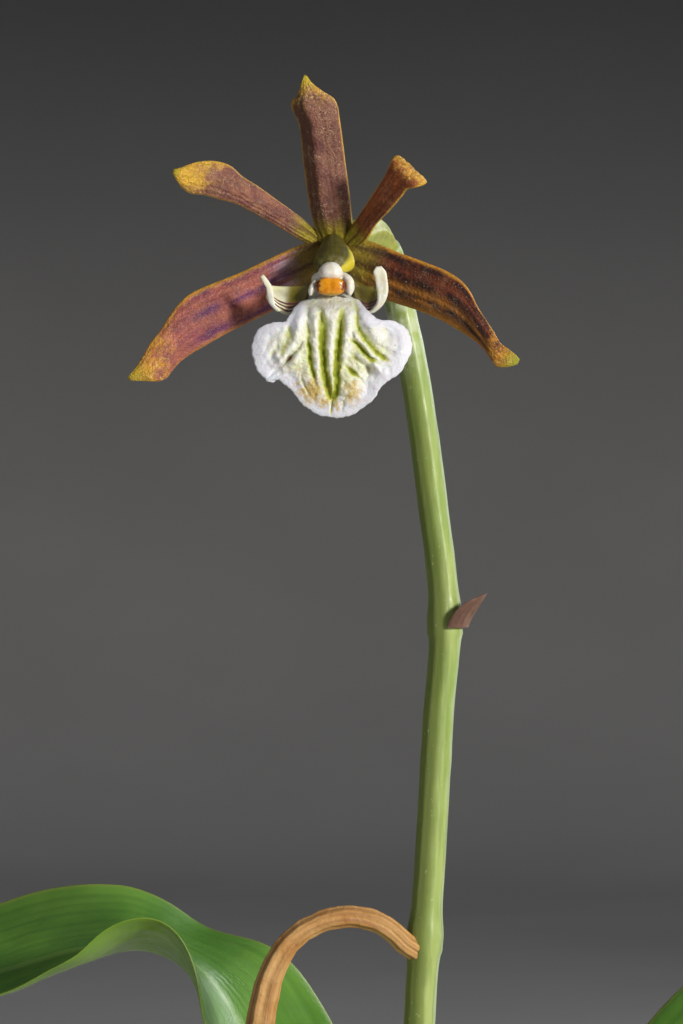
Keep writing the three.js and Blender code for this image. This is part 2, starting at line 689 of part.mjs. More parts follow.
// Each tepal: rows of u, midrib x, y, z, and half-width as seen.
// The sides are named as the viewer sees them, and the tips come forward of the middle.
const TEPALS = {
  dorsal_sepal: {
    rows: [
      [0, 0.08, -0.1, 1.5, 1.0], [0.13, -0.08, -0.7, 3.28, 1.5], [0.355, -0.48, -2.1, 5.92, 1.62],
      [0.545, -0.88, -3.4, 8.16, 1.68], [0.735, -1.28, -4.6, 10.4, 1.72],
      [0.83, -1.56, -5.15, 11.52, 1.8], [0.89, -1.8, -5.45, 12.24, 1.2],
      [0.94, -2.12, -5.6, 12.8, 0.5], [1, -2.24, -5.6, 13.52, 0.13],
    ],
    face: [0, -1, -0.35], bow: -0.75,
  },
  petal_left: {
    rows: [
      [0, -1.35, -0.1, 0.62, 0.5], [0.18, -3.72, -1.1, 1.84, 0.67], [0.31, -5.04, -2, 2.62, 0.72],
      [0.45, -6.66, -3, 3.58, 0.92], [0.6, -8.24, -4, 4.4, 1.11], [0.72, -9.52, -4.8, 5.22, 1.45],
      [0.82, -10.76, -5.4, 5.44, 1.38], [0.91, -11.92, -5.9, 5.6, 1],
      [0.965, -12.52, -6.1, 5.8, 0.53], [1, -12.88, -6.2, 6.08, 0.13],
    ],
    face: [0.3, -1, -0.1], bow: -0.55,
  },
  petal_right: {
    rows: [
      [0, 1.35, -0.1, 0.62, 0.5], [0.14, 2.6, -1.3, 1.5, 0.72], [0.32, 3.5, -3, 2.5, 0.8],
      [0.5, 4.2, -4.6, 3.5, 0.9], [0.66, 4.8, -5.9, 4.3, 0.98], [0.78, 5.36, -6.8, 5.06, 1.14],
      [0.87, 5.85, -7.3, 5.6, 1.4], [0.93, 6.2, -7.2, 5.9, 1.52], [0.97, 6.3, -6.6, 6, 1.15],
      [1, 6.35, -6.1, 5.9, 0.35],
    ],
    face: [-0.45, -1, -0.25], bow: -0.5,
  },
  lateral_sepal_left: {
    rows: [
      [0, -1.2, -0.1, -0.9, 0.8], [0.067, -2.4, -0.3, -1.75, 1.5], [0.2, -4.68, -1.3, -2.88, 2.02],
      [0.37, -7.4, -2.6, -4.24, 2.02], [0.525, -9.98, -3.9, -5.52, 2],
      [0.615, -11.36, -4.6, -6.4, 1.95], [0.7, -12.48, -5.2, -7.56, 1.5],
      [0.785, -13.64, -5.7, -8.6, 1.42], [0.865, -14.36, -6.1, -9.9, 1.28],
      [0.915, -14.96, -6.4, -10.56, 1.1], [0.95, -15.6, -6.6, -10.8, 0.6],
      [1, -16.48, -6.8, -10.84, 0.13],
    ],
    face: [0.4, -1, 0.15], bow: -0.5,
  },
  lateral_sepal_right: {
    rows: [
      [0, 1.25, -0.1, -0.9, 0.8], [0.066, 2.48, -0.3, -1.65, 1.45], [0.21, 4.56, -1.4, -2.52, 1.96],
      [0.335, 6.48, -2.4, -3.24, 1.94], [0.443, 8.08, -3.3, -3.96, 1.93],
      [0.53, 9.4, -4, -4.56, 1.9], [0.62, 10.48, -4.6, -5.56, 1.6], [0.7, 11.24, -5.1, -6.52, 1.17],
      [0.78, 12.08, -5.6, -7.44, 0.9], [0.86, 12.88, -6.1, -8.48, 0.69],
      [0.92, 13.58, -6.5, -9.2, 0.8], [0.97, 14.36, -6.7, -9.44, 0.52], [1, 14.88, -6.8, -9.36, 0.3],
    ],
    face: [-0.4, -1, 0.15], bow: -0.45,
  },
};
const TEPAL_VEINS = 3;
const TEPAL_STOPS = [0, 0.12, 0.26, 0.42, 0.57, 0.7, 0.8, 0.88, 0.92, 0.96, 1];

function tepalGeometry({ rows, face, bow }) {
  const curl = (u) => bow * Math.sin(Math.PI * Math.min(0.15 + u, 1) ** 1.5);
  const thick = (u) => 0.95 - 0.18 * u;
  const halfSeen = track(rows.map((row) => [row[0], row[4]]));
  const half = (u) => {
    const bend = Math.max(Math.abs(curl(u)), 0.05);
    const rim = 0.5 * (1 - EDGE_THINNING) * thick(u) * Math.sin(bend);
    return Math.max(((halfSeen(u)[0] - rim) * bend) / Math.sin(bend), 0.12);
  };
  return blade({
    spine: track(rows.map(([u, x, y, z]) => [u, ...seen(x, y, z)])),
    face: fixed(...face),
    width: (u) => [half(u), half(u)],
    bow: (u) => [curl(u)],
    thick: (u) => [thick(u)],
    relief: (u, v) => 0.05 * Math.cos(TEPAL_VEINS * Math.PI * v) * (1 - u),
    stops: TEPAL_STOPS,
    cols: 6,
  });
}

// The lip: rows of u, the way of its middle in y and z, then left and right half-widths as seen.
const LIP_ROWS = [
  [0, -1.5, -1.9, 0.9, 0.9], [0.1, -3.2, -2.85, 1.1, 1.1], [0.2, -5.4, -3.95, 1.5, 1.5],
  [0.29, -7.4, -4.95, 2.1, 2], [0.35, -8.6, -5.2, 2.5, 2.3], [0.4, -9.2, -5.45, 3, 2.7],
  [0.43, -9.3, -5.78, 3.45, 2.9], [0.46, -9.4, -6.16, 3.95, 3.95], [0.48, -9.45, -6.34, 5, 5.2],
  [0.5, -9.5, -6.64, 5.7, 5.75], [0.55, -9.6, -7.2, 6.24, 6.15], [0.61, -9.7, -8.08, 6.5, 6.3],
  [0.66, -9.75, -8.8, 6.5, 6.2], [0.72, -9.8, -9.6, 6.3, 5.85], [0.77, -9.8, -10.24, 6, 5.4],
  [0.81, -9.8, -10.8, 5.3, 4.85], [0.84, -9.8, -11.2, 4, 4.15], [0.88, -9.75, -11.76, 3.3, 3.7],
  [0.92, -9.7, -12.3, 3, 3.4], [0.955, -9.65, -12.9, 2.45, 2.9], [0.985, -9.6, -13.5, 1.6, 1.9],
  [1, -9.55, -13.9, 0.55, 0.9],
];
// Raised keels of the lip: rows of depth below the flower's centre, and place across.
const LIP_KEELS = [
  { rows: [[5, -0.05], [9, -0.1], [12.2, -0.05]], height: 0.34 },
  { rows: [[5, -1.3], [7.5, -1.15], [9, -1.05], [11.4, -0.7]], height: 0.36 },
  { rows: [[5, 1.1], [7.2, 1.25], [8.8, 1.15], [10.4, 0.9]], height: 0.36 },
  { rows: [[5, -2.3], [6.4, -2.45], [7.7, -2.7], [8.6, -3.4], [9.6, -4.1]], height: 0.3 },
  { rows: [[5, 2.5], [6.2, 2.7], [7.1, 3.1], [8.1, 3.95], [9.1, 4.8]], height: 0.3 },
  { rows: [[7, -1.3], [8, -1.9], [8.8, -2.6], [9.6, -3.3]], height: 0.26 },
  { rows: [[7, 1.5], [7.6, 2.1], [8.6, 3.0], [9.5, 3.8]], height: 0.28 },
];
const KEEL_HALF = 0.36;

function lipRelief(keels) {
  const ways = keels.map(({ rows, height }) => ({
    way: track(rows), first: rows[0][0], last: rows[rows.length - 1][0], height,
  }));
  return (down, across) => {
    let lift = 0;
    for (const { way, first, last, height } of ways) {
      const lean = (way(down + 0.1)[0] - way(down - 0.1)[0]) / 0.2;
      const off = (across - way(down)[0]) / Math.sqrt(1 + lean * lean);
      const fade = THREE.MathUtils.smoothstep(down, first - 0.5, first + 0.3) *
        (1 - THREE.MathUtils.smoothstep(down, last - 0.4, last + 0.5));
      lift = Math.max(lift, height * fade * Math.exp(-((off / KEEL_HALF) ** 2)));
    }
    const callus = Math.exp(-(((down - 5.8) / 0.6) ** 2) - (across / 1.7) ** 4);
    return Math.max(lift, 0.7 * callus);
  };
}

// The lip's side lobes stand up beside the column like two curled horns.
const LIP_HORNS = {
  left: {
    rows: [
      [0, -0.8, -6.6, -4.85, 0.6], [0.3, -2.9, -6.2, -4.5, 1.05], [0.5, -4.25, -6.3, -4.4, 0.98],
      [0.68, -4.95, -6.5, -3.75, 0.6], [0.85, -5.4, -6.7, -3.05, 0.32], [1, -5.8, -6.8, -2.5, 0.17],
    ],
    face: [[0.1, -1, 0.9], [0.1, -1, 0.7], [0.5, -1, 0.5], [0.9, -1, 0.1]],
  },
  right: {
    rows: [
      [0, 0.8, -6.6, -4.85, 0.6], [0.25, 2.4, -6.2, -4.45, 0.95], [0.45, 3.5, -6.3, -4.2, 0.9],
      [0.62, 3.86, -6.4, -3.5, 0.55], [0.82, 3.86, -6.7, -2.65, 0.5], [1, 3.74, -6.9, -1.95, 0.3],
    ],
    face: [[-0.1, -1, 0.9], [-0.1, -1, 0.7], [-0.7, -1, 0.5], [-1, -0.8, 0.1]],
  },
};

function lipGeometry() {
  const spine = track(LIP_ROWS.map(([u, y, z]) => [u, ...seen(0, y, z)]));
  const relief = lipRelief(LIP_KEELS);
  const middle = blade({
    spine,
    face: (u) => [0, -0.15 - u, 0.55 - 0.5 * u],
    width: track(LIP_ROWS.map((row) => [row[0], 0.97 * row[3], 0.97 * row[4]])),
    bow: (u) => [0.14 * (1 - THREE.MathUtils.smoothstep(u, 0.25, 0.5)) - 0.12 * u],
    thick: (u) => [0.85 - 0.2 * u],
    relief: (u, v, across) => relief(-spine(u)[2], across),
    stops: LIP_ROWS.map((row) => row[0]),
    cols: 22,
  });
  const horns = Object.values(LIP_HORNS).map(({ rows, face }) =>
    blade({
      spine: track(rows.map(([u, x, y, z]) => [u, ...seen(x, y, z)])),
      face: even(face),
      width: track(rows.map((row) => [row[0], row[4], row[4]])),
      bow: (u) => [0.7 - 0.5 * u],
      thick: fixed(0.6),
      stops: evenly(8),
      cols: 4,
    }),
  );
  return geometryOf(join([middle, ...horns]));
}

// The column, the shoulder and three blunt teeth at its end, and the cap over its pollen.
const COLUMN_WAY = even([[0, 0.3, 0], [0.05, -2.4, -0.45], [0.1, -4.7, -1], [0.1, -6.8, -1.75]]);
const SHOULDER = { at: [-0.15, -6.8, -2.75], size: [1.75, 0.85, 0.75] };
const TEETH = [
  { at: [-0.22, -7.4, -2.15], size: [0.92, 1.1, 0.7] },
  { at: [-1.6, -7.3, -3.2], size: [0.4, 0.85, 0.58] },
  { at: [1.3, -7.3, -3.05], size: [0.42, 0.85, 0.7] },
];
const CAP = { at: [-0.18, -7.6, -3.4], size: [1.12, 0.6, 0.58] };

const ball = ({ at, size }, around, down) =>
  new THREE.SphereGeometry(1, around, down).scale(...size).translate(...seen(...at));

function columnGeometry() {
  const body = rod({
    spine: (u) => seen(...COLUMN_WAY(u)),
    face: fixed(0, -0.3, 1),
    radius: (u) => [0.85 + 0.6 * u, 0.85 + 0.3 * u],
    sides: 12,
    steps: 5,
  });
  const socket = ball({ at: CAP.at, size: CAP.size.map((r) => r + GAP) }, 10, 8);
  const whole = join([body, ball(SHOULDER, 10, 6), ...TEETH.map((tooth) => ball(tooth, 8, 6))]);
  return geometryOf(largest(whole.subtract(solid(socket))));
}

const capGeometry = () => ball(CAP, 10, 8);

// Assembly.

add(root, "pot", potGeometry(), CLAY);
add(root, "bark", barkGeometry(), BARK);
add(root, "rhizome", rhizomeGeometry(), BULB);
for (const [name, bulb] of Object.entries(BULBS)) add(root, name, bulbGeometry(bulb), BULB);
for (const [name, points] of Object.entries(ROOTS)) add(root, name, rootGeometry(points), ROOT);
for (const [name, leaf] of Object.entries(LEAVES)) add(root, name, leafGeometry(leaf), LEAF);
for (const [name, sheath] of Object.entries(SHEATHS))
  add(root, name, sheathGeometry(sheath), PAPER);

add(flower, "stem", stemGeometry(), STEM);
for (const [name, scale] of Object.entries(SCALES)) add(flower, name, scaleGeometry(scale), PAPER);
add(flower, "spent_stalk", spentStalkGeometry(), DRY);
add(flower, "spent_flower", spentFlowerGeometry(), DRY);
add(flower, "ovary", ovaryGeometry(), STEM);
for (const [name, tepal] of Object.entries(TEPALS)) add(flower, name, tepalGeometry(tepal), TEPAL);
add(flower, "lip", lipGeometry(), LIP);
add(flower, "column", columnGeometry(), COLUMN);
add(flower, "anther_cap", capGeometry(), ANTHER);

export default root;
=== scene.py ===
# A small epiphytic orchid in a plain clay pot: its fine pieces and finishes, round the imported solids.

import math

import bpy
import numpy as np
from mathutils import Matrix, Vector


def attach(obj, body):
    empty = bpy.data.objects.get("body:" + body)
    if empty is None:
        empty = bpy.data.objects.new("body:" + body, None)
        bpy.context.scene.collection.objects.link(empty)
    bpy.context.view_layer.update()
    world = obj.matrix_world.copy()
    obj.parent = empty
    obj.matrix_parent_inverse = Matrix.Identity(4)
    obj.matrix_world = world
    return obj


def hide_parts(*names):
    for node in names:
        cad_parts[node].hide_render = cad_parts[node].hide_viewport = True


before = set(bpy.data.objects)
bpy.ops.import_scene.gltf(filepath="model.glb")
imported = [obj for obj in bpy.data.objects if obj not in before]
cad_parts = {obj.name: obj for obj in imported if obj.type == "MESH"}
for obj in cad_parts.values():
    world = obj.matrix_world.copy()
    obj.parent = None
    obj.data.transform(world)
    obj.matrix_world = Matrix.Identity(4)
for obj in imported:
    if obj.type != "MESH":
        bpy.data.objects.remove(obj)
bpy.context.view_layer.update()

# Sizes are in millimetres and in the frame of the solids. They are named as in the solids' source.
METRE = 0.001
GAP = 0.3
FLOWER = np.array([-6.0, -9.0, 276.0])
EYE_X, EYE_Z, EYE_DISTANCE = 0.68, -21.52, 328.0
MIDDLE_PX = (333.0, 243.0)  # the flower's middle in the photograph
PX = 0.08  # millimetres that one pixel covers in the flower's plane

# Steps along and across a skin, or round and along it for a rod
TEPAL_GRID, ARM_GRID, SPENT_GRID = (150, 52), (60, 40), (52, 24)
LEAF_GRID, CLASP_GRID, SCALE_GRID, SHEATH_GRID = (104, 34), (10, 20), (46, 38), (60, 72)
STEM_GRID, BULB_GRID = (40, 320), (84, 80)


# Curves and random lumps

def track(rows):
    """A smooth function of the first column: cubic pieces through rows of u, a, b and so on."""
    rows = np.array(rows, float)
    knots, values = rows[:, 0], rows[:, 1:]
    order = np.arange(len(knots))
    before, after = np.maximum(order - 1, 0), np.minimum(order + 1, len(knots) - 1)
    slopes = (values[after] - values[before]) / (knots[after] - knots[before])[:, None]

    def at(u):
        x = np.clip(np.asarray(u, float), knots[0], knots[-1])
        i = np.clip(np.searchsorted(knots, x, side="left") - 1, 0, len(knots) - 2)
        h = (knots[i + 1] - knots[i])[..., None]
        t = (x - knots[i])[..., None] / h
        s, c = t * t, t * t * t
        return ((2 * c - 3 * s + 1) * values[i] + (c - 2 * s + t) * slopes[i] * h
                + (3 * s - 2 * c) * values[i + 1] + (c - s) * slopes[i + 1] * h)

    return at


def even(values):
    """The same, for values at even steps from u = 0 to 1."""
    values = [np.atleast_1d(v) for v in values]
    return track([[i / (len(values) - 1), *v] for i, v in enumerate(values)])


def smooth(x, low, high):
    t = np.clip((np.asarray(x, float) - low) / (high - low), 0, 1)
    return t * t * (3 - 2 * t)


LATTICE = np.random.default_rng(3).random((32, 32, 32))


def rounding(x, least):
    """A round end, from the least that is kept at x = 0 to the full size at x = 1."""
    return np.sqrt(np.clip(x, least, 1))


def hump(x, middle, wide, power=2):
    """1 at the middle, falling softly to 0 on both sides of it."""
    return np.exp(-(((x - middle) / wide) ** power))


def grain(points, size, shift=0.0):
    """Smooth random heights from -1 to 1, for lumps of that size at those places."""
    p = np.asarray(points) / size + shift
    cell = np.floor(p).astype(int)
    f = p - cell
    f = f * f * (3 - 2 * f)
    total = 0
    for corner in np.ndindex(2, 2, 2):
        weight = np.prod(np.where(corner, f, 1 - f), -1)
        i = (cell + corner) % 32
        total = total + weight * LATTICE[i[..., 0], i[..., 1], i[..., 2]]
    return 2 * total - 1


def unit(vectors):
    return vectors / np.maximum(np.linalg.norm(vectors, axis=-1, keepdims=True), 1e-12)


def seen(x, y, z):
    """The place of a point that the eye sees at x, z of the flower's plane and that lies at depth y."""
    x, y, z = np.broadcast_arrays(np.asarray(x, float), y, z)
    nearer = 1 + y / EYE_DISTANCE
    return np.stack([EYE_X + (x - EYE_X) * nearer, y, EYE_Z + (z - EYE_Z) * nearer], -1) + FLOWER


def seen_px(column, row, y):
    return seen((column - MIDDLE_PX[0]) * PX, y, (MIDDLE_PX[1] - row) * PX)


# Skins: points in millimetres, faces, and three marks at each point that the materials read

def skin_of_rings(rings, marks, ends="fan"):
    """A closed skin over rings of points. Its ends are fans, or strips from a ring's front to its back."""
    rows, n = rings.shape[:2]
    index = np.arange(rows * n).reshape(rows, n)
    a, b = index[:-1], np.roll(index, -1, 1)[:-1]
    c, d = np.roll(index, -1, 1)[1:], index[1:]
    faces = np.stack([a, b, c, d], -1).reshape(-1, 4).tolist()
    points, marks = rings.reshape(-1, 3), marks.reshape(-1, 3)
    for row, turn in ((0, -1), (rows - 1, 1)):
        ring = index[row]
        if ends == "fan":
            hub = len(points)
            points = np.vstack([points, rings[row].mean(0)])
            marks = np.vstack([marks, marks[ring].mean(0)])
            faces += [[hub, ring[i], ring[(i + 1) % n]][::turn] for i in range(n)]
        else:
            for i in range(n // 2):
                quad = [ring[i], ring[i + 1], ring[(n - i - 1) % n], ring[(n - i) % n]]
                kept = [p for k, p in enumerate(quad) if p not in quad[:k]]
                faces.append(kept[::turn])
    return points, faces, marks


def volume(points, faces):
    total = 0.0
    by_count = {}
    for face in faces:
        by_count.setdefault(len(face), []).append(face)
    for group in by_count.values():
        corners = points[np.array(group)]
        for k in range(1, corners.shape[1] - 1):
            total += np.einsum("ij,ij->i", corners[:, 0], np.cross(corners[:, k], corners[:, k + 1])).sum()
    return total


def joined(skins):
    points, faces, marks, first = [], [], [], 0
    for p, f, m in skins:
        if volume(p, f) < 0:
            f = [face[::-1] for face in f]
        points.append(p)
        marks.append(m)
        faces += [[i + first for i in face] for face in f]
        first += len(p)
    return np.vstack(points), faces, np.vstack(marks)


def piece(name, skins, material, slot, *nodes, sharp=None):
    """One object of the plant or pot, from its skins. It stands for those nodes."""
    points, faces, marks = joined(skins)
    mesh = bpy.data.meshes.new(name)
    mesh.from_pydata((points * METRE).tolist(), [], faces)
    place = mesh.attributes.new("place", "FLOAT_VECTOR", "POINT")
    place.data.foreach_set("vector", marks.astype(np.float32).ravel())
    mesh.shade_smooth()
    if sharp is not None:
        mesh.set_sharp_from_angle(angle=math.radians(sharp))
    mesh.materials.append(material)
    made = bpy.data.objects.new(name, mesh)
    bpy.context.scene.collection.objects.link(made)
    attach(made, "root")
    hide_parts(*nodes)
    return made


def station(spine, face, u):
    """The places, and the ways across and out, at u on a spine."""
    step = 0.01
    at = spine(u)
    along = unit(spine(np.minimum(u + step, 1)) - spine(np.maximum(u - step, 0)))
    across = unit(np.cross(along, np.broadcast_to(face(u), along.shape)))
    return at, along, across, np.cross(across, along)


def fixed(*values):
    return lambda u: np.broadcast_to(np.array(values, float), np.shape(u) + (len(values),))


def rim_spaced(cols):
    """Places from -1 to 1, closer together at both rims."""
    return np.sin(np.linspace(-1, 1, cols + 1) * 1.5) / math.sin(1.5)


def leafy(front, back, u, v):
    """A skin from a front and a back grid that meet at their rims."""
    rings = np.concatenate([front, back[:, -2:0:-1]], 1)
    side = np.concatenate([np.ones(front.shape[:2]), np.zeros(back[:, -2:0:-1].shape[:2])], 1)
    across = np.concatenate([v, v[:, -2:0:-1]], 1)
    along = np.concatenate([u, u[:, -2:0:-1]], 1)
    return skin_of_rings(rings, np.stack([along, across, side], -1), "strip")


def blade(spine, face, width, bow, thick, rows, cols, fold=None, relief=None, rim=8, tips=0.02):
    """A thin blade along a spine, with round rims: the fine form of the solids' blades."""
    u, v = np.linspace(0, 1, rows + 1), rim_spaced(cols)
    at, _, across, out = (part[:, None] for part in station(spine, face, u))
    U, V = np.meshgrid(u, v, indexing="ij")
    half = np.where(V < 0, width(U)[..., 0], width(U)[..., -1])
    curl = bow(U)[..., 0]
    curl = np.where(np.abs(curl) < 1e-3, 1e-3, curl)
    angle = V * curl
    x = half / np.abs(curl) * np.sin(np.abs(curl) * V)
    height = half / curl * (1 - np.cos(angle))
    if fold:
        height = height + fold * half * (np.sqrt(V * V + 0.03) - 0.17)
    ends = rounding(np.minimum(U, 1 - U) / tips, 0.04)
    body = thick(U)[..., 0] / 2 * (1 - 0.2 * V * V) * rounding(1 - np.abs(V) ** rim, 0) * ends
    extra = relief(U, V, at + x[..., None] * across) * (1 - V ** 8) if relief else 0

    def side(sign, lift):
        shift = sign * body + lift
        return (at + across * (x - shift * np.sin(angle))[..., None]
                + out * (height + shift * np.cos(angle))[..., None])

    return leafy(side(1, extra), side(-1, extra), U, V)


def rod(spine, face, radius, sides, steps, ribs=0, rib_depth=0.0, bumps=None):
    """A round or ribbed rod along a spine."""
    u = np.linspace(0, 1, steps + 1)
    angle = np.linspace(0, 2 * np.pi, sides, endpoint=False)
    at, _, across, out = (part[:, None] for part in station(spine, face, u))
    U, A = np.meshgrid(u, angle, indexing="ij")
    size = radius(U)
    swell = 1 + rib_depth * np.cos(ribs * A)
    wide, high = size[..., 0] * swell, size[..., -1] * swell
    ring = at + across * (wide * np.cos(A))[..., None] + out * (high * np.sin(A))[..., None]
    if bumps:
        ring = ring + unit(ring - at) * bumps(U, A, ring)[..., None]
    return skin_of_rings(ring, np.stack([U, A / (2 * np.pi), np.ones_like(U)], -1))


def wrap(spine, face, radius, reach, rows, cols, thick=0.62):
    """A sheath that hugs a core along a spine."""
    u, v = np.linspace(0, 1, rows + 1), rim_spaced(cols)
    at, _, across, out = (part[:, None] for part in station(spine, face, u))
    U, V = np.meshgrid(u, v, indexing="ij")
    angle = V * reach(U)
    inner = radius(U, angle)
    body = thick * rounding(1 - np.abs(V) ** 6, 0) / 2

    def side(sign):
        far = inner + thick / 2 + sign * body
        return at + out * (far * np.cos(angle))[..., None] + across * (far * np.sin(angle))[..., None]

    return leafy(side(1), side(-1), U, V)


def between(edges, thick, rows, cols, bow, relief=None, rim=6, ends=0.0):
    """A fleshy blade between two edges that the photograph shows. edges has rows of u, the pixel of
    one edge, the pixel of the other, and the depth of the middle. bow gives how far the blade leans
    away from the eye, as a share of its half-width."""
    way = track(edges)
    u, v = np.linspace(0, 1, rows + 1), rim_spaced(cols)
    U, V = np.meshgrid(u, v, indexing="ij")
    ax, ay, bx, by, y = np.moveaxis(way(U), -1, 0)
    share = (V + 1) / 2
    column, row = ax + (bx - ax) * share, ay + (by - ay) * share
    half = np.hypot(bx - ax, by - ay) * PX / 2
    middle = seen_px(column, row, y + half * bow(U, V))
    normal = unit(np.cross(np.gradient(middle, axis=0), np.gradient(middle, axis=1)))
    normal *= np.where(normal[..., 1:2] > 0, -1, 1)
    taper = rounding((1 - U) / 0.03, 0.05) if not ends else ends
    body = thick(U) / 2 * rounding(1 - np.abs(V) ** rim, 0) * taper
    extra = relief(U, V, middle) * (1 - V ** 6) if relief else 0
    front = middle + normal * (body + extra)[..., None]
    back = middle - normal * (body - 0.4 * extra)[..., None]
    return leafy(front, back, U, V)


def lump(at, size, around=40, down=28, power=2.0, grainy=0.0, grain_size=0.5, shape=None):
    """A rounded lump at a place that the eye sees. power makes it squarer."""
    angle = np.linspace(0, 2 * np.pi, around, endpoint=False)
    height = np.linspace(-np.pi / 2, np.pi / 2, down + 1)[1:-1]
    H, A = np.meshgrid(height, angle, indexing="ij")
    way = np.stack([np.cos(H) * np.cos(A), np.cos(H) * np.sin(A), np.sin(H)], -1)
    way = way / (np.abs(way) ** power).sum(-1, keepdims=True) ** (1 / power)
    if shape:
        way = shape(way)
    points = way * np.array(size) + seen(*at)
    if grainy:
        points = points + unit(way) * (grainy * grain(points, grain_size))[..., None]
    return skin_of_rings(points, way)


def turned(profile, sides):
    """The rings that a profile of radius and height makes."""
    angle = np.linspace(0, 2 * np.pi, sides, endpoint=False)
    return np.stack([profile[:, None, 0] * np.cos(angle), profile[:, None, 0] * np.sin(angle),
                     np.repeat(profile[:, 1:], sides, 1)], -1)


def lathe(profile, sides, wobble=0.0, wobble_size=20.0):
    """A closed turned form. The profile runs from the axis, round, and back to the axis."""
    profile = np.array(profile, float)
    inner = profile[1:-1]
    points = turned(inner, sides)
    if wobble:
        out = unit(points * np.array([1, 1, 0]))
        points = points + out * (wobble * grain(points, wobble_size))[..., None]
    marks = np.stack([points[..., 2], np.hypot(points[..., 0], points[..., 1]),
                      np.repeat(np.arange(len(inner))[:, None], sides, 1)], -1)
    return skin_of_rings(points, marks)


# Materials

def tint(red, green, blue):
    """A colour as a screen shows it, from 0 to 255, in linear light."""
    linear = [((c / 255 + 0.055) / 1.055) ** 2.4 if c > 10 else c / 3294.6 for c in (red, green, blue)]
    return (*linear, 1.0)


class Look:
    """A material made of nodes. Its colour, roughness and bump come from the place on the piece."""

    def __init__(self, name, roughness, **sockets):
        self.material = bpy.data.materials.new(name)
        self.material.use_nodes = True
        self.tree = self.material.node_tree
        self.shader = self.tree.nodes["Principled BSDF"]
        self.shader.inputs["Roughness"].default_value = roughness
        for socket, value in sockets.items():
            self.shader.inputs[socket.replace("_", " ")].default_value = value
        self.space = self.node("ShaderNodeTexCoord").outputs["Object"]
        mark = self.node("ShaderNodeAttribute")
        mark.attribute_name = "place"
        split = self.node("ShaderNodeSeparateXYZ", mark.outputs["Vector"])
        self.u, self.v, self.side = split.outputs

    def node(self, kind, *inputs, **settings):
        made = self.tree.nodes.new(kind)
        for name, value in settings.items():
            setattr(made, name, value)
        for i, value in enumerate(inputs):
            if isinstance(value, bpy.types.NodeSocket):
                self.tree.links.new(value, made.inputs[i])
            elif value is not None:
                made.inputs[i].default_value = value
        return made

    def sum(self, operation, a, b=0.0, c=0.0):
        return self.node("ShaderNodeMath", a, b, c, operation=operation).outputs[0]

    def scaled(self, size, stretch=(1, 1, 1)):
        """Object coordinates in which lumps of that many millimetres have size 1."""
        step = [1 / (METRE * size * s) for s in stretch]
        return self.node("ShaderNodeVectorMath", self.space, step, operation="MULTIPLY").outputs[0]

    def noise(self, size, detail=3.0, stretch=(1, 1, 1), rough=0.5, bend=0.0):
        made = self.node("ShaderNodeTexNoise", self.scaled(size, stretch))
        made.inputs["Scale"].default_value = 1.0
        made.inputs["Detail"].default_value = detail
        made.inputs["Roughness"].default_value = rough
        made.inputs["Distortion"].default_value = bend
        return made.outputs["Fac"]

    def strand(self, along, across, detail=2.0):
        """Noise drawn out along the piece: its cells are that share of the piece's length and width."""
        x = self.sum("MULTIPLY", self.u, 1 / along)
        y = self.sum("MULTIPLY", self.v, 1 / across)
        made = self.node("ShaderNodeTexNoise",
                         self.node("ShaderNodeCombineXYZ", x, y, self.side).outputs[0])
        made.inputs["Scale"].default_value = 1.0
        made.inputs["Detail"].default_value = detail
        return made.outputs["Fac"]

    def cells(self, size, feature="F1", stretch=(1, 1, 1)):
        made = self.node("ShaderNodeTexVoronoi", self.scaled(size, stretch), feature=feature)
        made.inputs["Scale"].default_value = 1.0
        return made.outputs["Distance"]

    def step(self, x, low, high, to_low=0.0, to_high=1.0):
        made = self.node("ShaderNodeMapRange", x, low, high, to_low, to_high,
                         interpolation_type="SMOOTHSTEP")
        return made.outputs[0]

    def mix(self, share, a, b):
        made = self.node("ShaderNodeMix", data_type="RGBA")
        for socket, value in ((0, share), (6, a), (7, b)):
            if isinstance(value, bpy.types.NodeSocket):
                self.tree.links.new(value, made.inputs[socket])
            else:
                made.inputs[socket].default_value = value
        return made.outputs[2]

    def stripes(self, count, wander=0.0, sharpness=2.0, shift=0.0):
        """Bright lines along the piece, count of them across its half-width."""
        at = self.sum("MULTIPLY_ADD", self.v, count * math.pi, shift)
        if wander:
            at = self.sum("MULTIPLY_ADD", self.strand(0.3, 0.8), wander, at)
        wave = self.sum("MULTIPLY_ADD", self.sum("COSINE", at), 0.5, 0.5)
        return self.sum("POWER", wave, sharpness)

    def both(self, a, b):
        return self.sum("MULTIPLY", a, b)

    def plus(self, a, factor, b):
        """a times factor, plus b."""
        return self.sum("MULTIPLY_ADD", a, factor, b)

    def fade(self, x, low, high):
        """1 below low and 0 above high."""
        return self.step(x, low, high, 1.0, 0.0)

    def ground(self, share, a, b):
        """The first colour: a mix of two."""
        self.colour = self.mix(share, tint(*a), tint(*b))

    def coat(self, share, colour, strength=None):
        """One more colour over the ones before."""
        if strength is not None:
            share = self.sum("MULTIPLY", share, strength)
        self.colour = self.mix(share, self.colour, tint(*colour))

    def finished(self, dull, edges, roughness, relief, depth, strength):
        """The material. dull, between two edges, takes its roughness from one value to the other, and
        relief is as deep as that many millimetres."""
        bump = self.node("ShaderNodeBump")
        bump.inputs["Strength"].default_value = strength
        bump.inputs["Distance"].default_value = depth * METRE
        for source, socket in ((self.colour, self.shader.inputs["Base Color"]),
                               (self.step(dull, *edges, *roughness), self.shader.inputs["Roughness"]),
                               (relief, bump.inputs["Height"]),
                               (bump.outputs["Normal"], self.shader.inputs["Normal"])):
            self.tree.links.new(source, socket)
        return self.material


